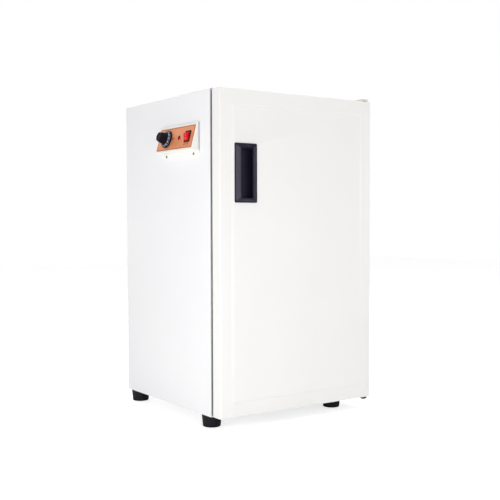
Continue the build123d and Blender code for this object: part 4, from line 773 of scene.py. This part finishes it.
def flat_text(words, height):
    """The text as (points, faces), lying flat, middle on x = 0, with capitals of a height in millimetres."""
    curve = bpy.data.curves.new("print", "FONT")
    curve.body, curve.align_x, curve.size = words, "CENTER", height / capital_share
    curve.resolution_u, curve.offset = 3, stroke_added / 2
    holder = bpy.data.objects.new("print", curve)
    mesh = bpy.data.meshes.new_from_object(holder)
    points = np.zeros(len(mesh.vertices) * 3)
    mesh.vertices.foreach_get("co", points)
    faces = [list(face.vertices) for face in mesh.polygons]
    bpy.data.objects.remove(holder)
    return points.reshape(-1, 3)[:, :2], faces


def bar(width, low, high):
    """An upright bar as (points, faces): one rectangle from low to high."""
    half = width / 2
    return np.array([(-half, low), (half, low), (-half, high), (half, high)]), [[0, 1, 3, 2]]


def printed(name, body, ink, marks, axes, origin):
    """Marks, each (points in mm, faces), as one thin print. Each point already has its place off the surface."""
    points, faces, first = [], [], 0
    for placed, quad_list in marks:
        points.append(placed)
        faces += [[first + index for index in face] for face in quad_list]
        first += len(placed)
    mesh = bpy.data.meshes.new(name)
    mesh.from_pydata((np.asarray(origin) + np.vstack(points) @ axes * MM).tolist(), [], faces)
    show(name, mesh, body, ink)


print("a nought has", len(flat_text("0", 3.9)[0]), "points")

# %% [markdown]
# ## Control pod: numbers on the skirt
# A dial like this has its numbers printed on the skirt, with their tops outwards, so that the one at the mark
# reads upright. They are laid flat first, and their points are then bent round the cone: a point's x becomes a
# turn of x over the radius, and its y moves it up or down the slope.

# %% Print on the skirt
slope_length = math.hypot(rim_radius - cone_radius, cone_top - rim_top)
inwards = np.array((cone_radius - rim_radius, cone_top - rim_top)) / slope_length


def round_skirt(flat, turn):
    """Flat points round the cone: y counts down from the rim, and x is an arc. The film lifts them off it."""
    x, y = flat.T
    radius = rim_radius - inwards[0] * y + film * inwards[1]
    height = rim_top - inwards[1] * y - film * inwards[0]
    angle = turn - x / radius
    return np.stack([radius * np.cos(angle), radius * np.sin(angle), height], axis=-1)


step_between, numbers, ticks_each = math.radians(27), 11, 5
digit_height, digit_foot = 3.9, 5.6
tick_width, long_tick, short_tick, tick_gap = 0.45, 1.3, 0.9, 0.2
at_mark = (numbers - 1) // 2
marks = []
for count in range(numbers):
    flat, faces = flat_text(str(10 * count), digit_height)
    marks.append((round_skirt(flat - (0, digit_foot), (count - at_mark) * step_between), faces))
for count in range((numbers - 1) * ticks_each + 1):
    flat, faces = bar(tick_width, -(short_tick if count % ticks_each else long_tick), -tick_gap)
    marks.append((round_skirt(flat, (count / ticks_each - at_mark) * step_between), faces))
printed("skirt_numbers", "knob", pale_ink, marks, slope_axes, on_slope(knob_u, 0))
print("numbers and ticks", len(marks))

# %% [markdown]
# ## Control pod: marks on the plate
# Beside the knob the plate has a short brown mark that the numbers are read against, and below the switch
# stand OFF and ON. The plate is flat, so these lie at one height over it.

# %% Plate marks


def lying(flat, u, v, w):
    """Flat points moved to (u, v) at a height of w."""
    return np.column_stack([flat + (u, v), np.full(len(flat), w)])


mark_length, mark_thickness, mark_gap = 6.8, 3.0, 4.6
word_height, word_v, word_places = 3.4, -18.0, {"OFF": 42.6, "ON": 55.6}
mark, mark_faces = bar(mark_length, -mark_thickness / 2, mark_thickness / 2)
mark_u = knob_u + rim_radius + mark_gap
plate_marks = [(lying(mark, mark_u, 0, plate_sheet + film), mark_faces)]
for words, word_u in word_places.items():
    flat, faces = flat_text(words, word_height)
    plate_marks.append((lying(flat, word_u, word_v, plate_sheet + film), faces))
printed("plate_marks", "cabinet", brown_ink, plate_marks, slope_axes, on_slope(0, 0))
print("plate marks", len(plate_marks))

# %% [markdown]
# ## Control pod: pilot lens
# A small red lens with a flat flange and a low dome, pressed into the plate in front of a neon lamp. A flattened
# ball would give the dome alone, so flange and dome are one turned outline.

# %% Lens
lamp_u = 15.5
lens_rows = softened([(0.4, -1.5, 0), (3.85, -1.5, 0), (3.85, 0.8, 0), (4.7, 0.8, 0), (4.7, 1.35, 0), (3.9, 1.6, 0),
                      (3.2, 2.5, 0), (1.6, 2.95, 0), (0.4, 3.0, 0)], [0.2, 0.1, 0.1, 0.3, 0.3, 0.7, 0.8])
lens = piece("lamp_lens", "cabinet", red_lens, [turned(lens_rows, 48)], slope_axes,
             on_slope(lamp_u, 0), replaced=["pilot_lens"])
print("lens", len(lens.data.vertices), "points")

# %% [markdown]
# ## Control pod: rocker
# The rocker is a red block on a cross pin. At rest it is tipped, so that its upper end stands out of the frame
# and its lower end is pressed in. Its outline seen from the side has a flat face and two ends that are arcs
# about the pin. It is carried across the rocker's width and drawn in a little at both ends, which rounds them.
# A bar and a ring are printed on its face.

# %% Rocker
switch_u, switch_v, pivot_w = 50.0, -0.45, 0.8
end_arc, crown, heel, arc_points = 8.8, 5.5, -1.2, 7
foot_half, foot_level = 3.0, -3.6
lean = math.radians(16.5)
along_face = math.cos(lean) * upslope + math.sin(lean) * outwards
off_face = math.cos(lean) * outwards - math.sin(lean) * upslope
heel_angle, crown_angle = math.asin(heel / end_arc), math.asin(crown / end_arc)
left_end = math.pi - np.linspace(crown_angle, heel_angle, arc_points)
right_end = np.linspace(heel_angle, crown_angle, arc_points)
side_rows = np.vstack([
    [(0, crown)], end_arc * np.stack([np.cos(left_end), np.sin(left_end)], axis=-1),
    [(-foot_half, foot_level), (foot_half, foot_level)],
    end_arc * np.stack([np.cos(right_end), np.sin(right_end)], axis=-1), [(0, crown)]])
side_radii = np.full(len(side_rows) - 2, 0.1)
side_radii[[0, -1]] = 0.8
side_rows = softened(side_rows, side_radii)[:-1]
half_rocker = 8.0
drawn_in = [(0.90, -half_rocker), (0.97, -half_rocker + 0.15), (1.0, -half_rocker + 0.7),
            (1.0, half_rocker - 0.7), (0.97, half_rocker - 0.15), (0.90, half_rocker)]
rocker_grid = np.stack([np.column_stack([side_rows * share, np.full(len(side_rows), w)]) for share, w in drawn_in])
pivot = on_slope(switch_u, switch_v, pivot_w)
rocker = piece("switch_rocker", "rocker", red_switch, [rocker_grid],
               np.stack([along_face, off_face, across]), pivot, replaced=["rocker"])

sign_from_middle, sign_half, ring_inner, stroke_width, ring_steps = 3.6, 1.7, 1.1, 0.8, 24
circle = np.linspace(0, 2 * math.pi, ring_steps + 1)[:, None]
ring = np.concatenate([radius * np.hstack([np.cos(circle), np.sin(circle)]) for radius in (sign_half, ring_inner)])
ring_faces = [[i, i + 1, i + 2 + ring_steps, i + 1 + ring_steps] for i in range(ring_steps)]
stroke, stroke_faces = bar(stroke_width, -sign_half, sign_half)
printed("rocker_marks", "rocker", pale_ink,
        [(lying(stroke, 0, sign_from_middle, crown + film), stroke_faces),
         (lying(ring, 0, -sign_from_middle, crown + film), ring_faces)],
        np.stack([across, along_face, off_face]), pivot)
print("rocker", len(rocker.data.vertices), "points, marks I and O")

# %% [markdown]
# ## Screws
# The heads that show are pan heads with a cross recess. The solids have them as plain polygons. Here each is a
# dome on a polar grid, whose height drops by the recess wherever the point lies on one of the two crossed bars.
# The heads sit at the corners of the node's box, and the back panel has two more halfway up. A solid's head has
# ten sides, so it reaches its full radius sideways but only the cosine of 18 degrees of it upwards.

# %% Pan heads
head_height, shank_radius = 1.8, 1.7
upward_reach, one_row_below = math.cos(math.radians(18)), 10
UP = np.array((0.0, 0.0, 1.0))


def pan_head(radius, length):
    """A dome of height 0.4 + 0.6 sqrt(1 - s squared) of the whole at a share s of the radius, less the bars."""
    share = np.sqrt(np.linspace(0.98, 0.001, 16))
    dome = np.column_stack([radius * share, head_height * (0.4 + 0.6 * np.sqrt(1 - share**2)), 0 * share])
    shank = [(shank_radius, -length, 0), (shank_radius, 0, 0), (radius, 0, 0), (radius, head_height * 0.35, 0)]
    grid = turned(np.vstack([shank, dome]), 48)
    x, y = np.abs(grid[..., 0]), np.abs(grid[..., 1])
    width, end = 0.13 * radius, 0.56 * radius
    on_bar = ((x < width) & (y < end)) | ((y < width) & (x < end))
    grid[..., 2] -= np.where(on_bar & (grid[..., 2] > 0.45 * head_height), 0.5 * head_height, 0)
    return grid


def screws(node, radius, length, out, plating=zinc):
    """Pan heads facing out at a node's screws, in one row or three, at its box's two sides. Returns their number."""
    side = np.cross(UP, out)
    low, high = box_mm(node)
    deep = max(low @ out, high @ out) - head_height
    side_low, side_high = sorted((low @ side, high @ side))
    tall_low, tall_high = low[2] + radius * upward_reach, high[2] - radius * upward_reach
    middle = (tall_low + tall_high) / 2
    tall = [middle] if tall_high - tall_low < one_row_below else [tall_low, middle, tall_high]
    grids = [pan_head(radius, length) + (across_at, up_at, deep)
             for across_at in (side_low + radius, side_high - radius) for up_at in tall]
    piece(node + "_heads", "cabinet", plating, grids, np.stack([side, UP, out]), replaced=[node])
    return len(grids)


heads = screws("pod_screws", 2.8, 3.9, (-1, 0, 0), dull_zinc)
heads += screws("back_screws", 3.4, 3.7, (0, 1, 0))
heads += screws("inlet_screws", 3.4, 4.9, (0, 1, 0))
print("screw heads", heads)

# %% [markdown]
# ## Camera
# The photograph was taken from the object's left, a little over half its height and about two metres away.
# It could be set by eye, but the long edges of the case run to three vanishing points, and those fix the lens,
# the turn and the height.

# %% Camera
camera_place = Vector((-1085.8, -1609.5, 422.9)) * MM
camera_turn, camera_drop, camera_roll = (math.radians(a) for a in (-34.77, 1.94, -0.147))
lens_length, sensor_width = 60.96, 36
forward = Vector((-math.sin(camera_turn) * math.cos(camera_drop), math.cos(camera_turn) * math.cos(camera_drop),
                  -math.sin(camera_drop)))
right = Vector((math.cos(camera_turn), math.sin(camera_turn), 0))
up = right.cross(forward)
rolled_right = right * math.cos(camera_roll) + up * math.sin(camera_roll)
rolled_up = up * math.cos(camera_roll) - right * math.sin(camera_roll)
camera_axes = Matrix((rolled_right, rolled_up, -forward)).transposed().to_4x4()
camera = bpy.data.objects.new("camera", bpy.data.cameras.new("camera"))
camera.data.lens, camera.data.sensor_width = lens_length, sensor_width
camera.matrix_world = Matrix.Translation(camera_place) @ camera_axes
bpy.context.scene.collection.objects.link(camera)
bpy.context.scene.camera = camera
print("camera at", [round(c, 3) for c in camera_place], "lens", lens_length, "mm")

# %% [markdown]
# ## Background and floor
# The cabinet stands on a pale floor. The background is white for the camera, for reflections and through clear
# plastic, and lights the cabinet at less than a third of that. The floor is white paper that adds a little
# light of its own towards the camera, so that it reads as white yet still takes the shadow under the case.

# %% Background and floor
bpy.context.scene.view_settings.view_transform = "Standard"
room_light, floor_glow, floor_half = 0.29, 0.66, 6.0
world = bpy.data.worlds.new("pale_room")
world.use_nodes = True
bpy.context.scene.world = world
tree, background = world.node_tree, world.node_tree.nodes["Background"]
background.inputs["Color"].default_value = linear("#FFFFFF")
rays = add(tree, "ShaderNodeLightPath", "Is Camera Ray").node.outputs
seen = rays["Is Camera Ray"]
for ray in ("Is Transmission Ray", "Is Glossy Ray"):
    seen = add(tree, "ShaderNodeMath", "Value", {0: seen, 1: rays[ray]}, operation="MAXIMUM")
feed(tree, background, Strength=add(tree, "ShaderNodeMath", "Value", {
    0: seen, 1: 1.0 - room_light, 2: room_light}, operation="MULTIPLY_ADD"))

floor_mesh = bpy.data.meshes.new("floor")
floor_corners = [(-floor_half, -floor_half, 0), (floor_half, -floor_half, 0),
                 (floor_half, floor_half, 0), (-floor_half, floor_half, 0)]
floor_mesh.from_pydata(floor_corners, [], [(0, 1, 2, 3)])
floor = bpy.data.objects.new("floor", floor_mesh)
bpy.context.scene.collection.objects.link(floor)
paper, tree, shader, place = start("pale_paper", Roughness=0.9, Specular_IOR_Level=0.2,
                                   Emission_Color=linear("#FFFFFF"))
seen = add(tree, "ShaderNodeLightPath", "Is Camera Ray")
glow = add(tree, "ShaderNodeMath", "Value", {0: seen, 1: floor_glow}, operation="MULTIPLY")
feed(tree, shader, Base_Color=two_tones(tree, place, 400, "#FAFAFA", "#F6F6F6"), Emission_Strength=glow)
floor_mesh.materials.append(paper)
print("floor", 2 * floor_half, "m wide, room light", room_light)

# %% [markdown]
# ## Lamps
# Seven soft panels light the cabinet. A picture of a studio wrapped round the scene could do it too, but panels
# can be moved and dimmed one by one. One stands low and close in front, since the door is brightest in its lower
# half. Two light the left side, which darkens towards its top. Of the two above, the one further forward makes
# the upper slope of the door's field a light line. The last two light the back and the right side.


# %% Lamps
def panel(name, place, towards, width, height, power):
    """A soft rectangular lamp at place, in metres, facing a point."""
    lamp = bpy.data.lights.new(name, "AREA")
    lamp.shape = "RECTANGLE"
    lamp.size, lamp.size_y, lamp.energy = width, height, power
    made = bpy.data.objects.new(name, lamp)
    made.location = place
    made.rotation_euler = (Vector(towards) - Vector(place)).to_track_quat("-Z", "Y").to_euler()
    made.visible_camera = False
    bpy.context.scene.collection.objects.link(made)


panel("key_low_front", (-0.5, -1.5, 0.12), (0, -0.2, 0.2), 1.2, 0.5, 7.9)
panel("near_left", (-1.9, -0.4, 0.35), (-0.18, -0.1, 0.3), 0.8, 0.8, 11.4)
panel("low_left", (-1.2, -0.5, 0.15), (-0.18, -0.1, 0.25), 0.8, 0.5, 1.9)
panel("top", (0.2, 0.0, 3.0), (0, 0, 0.5), 2.0, 2.0, 30)
panel("top_front", (0.3, -1.0, 2.8), (0, 0, 0.5), 2.0, 1.2, 23)
panel("behind", (0.7, 2.6, 1.0), (0, 0.2, 0.4), 1.2, 1.2, 15)
panel("rim_right", (2.6, -1.2, 0.6), (0, -0.2, 0.5), 1.2, 1.2, 10.8)
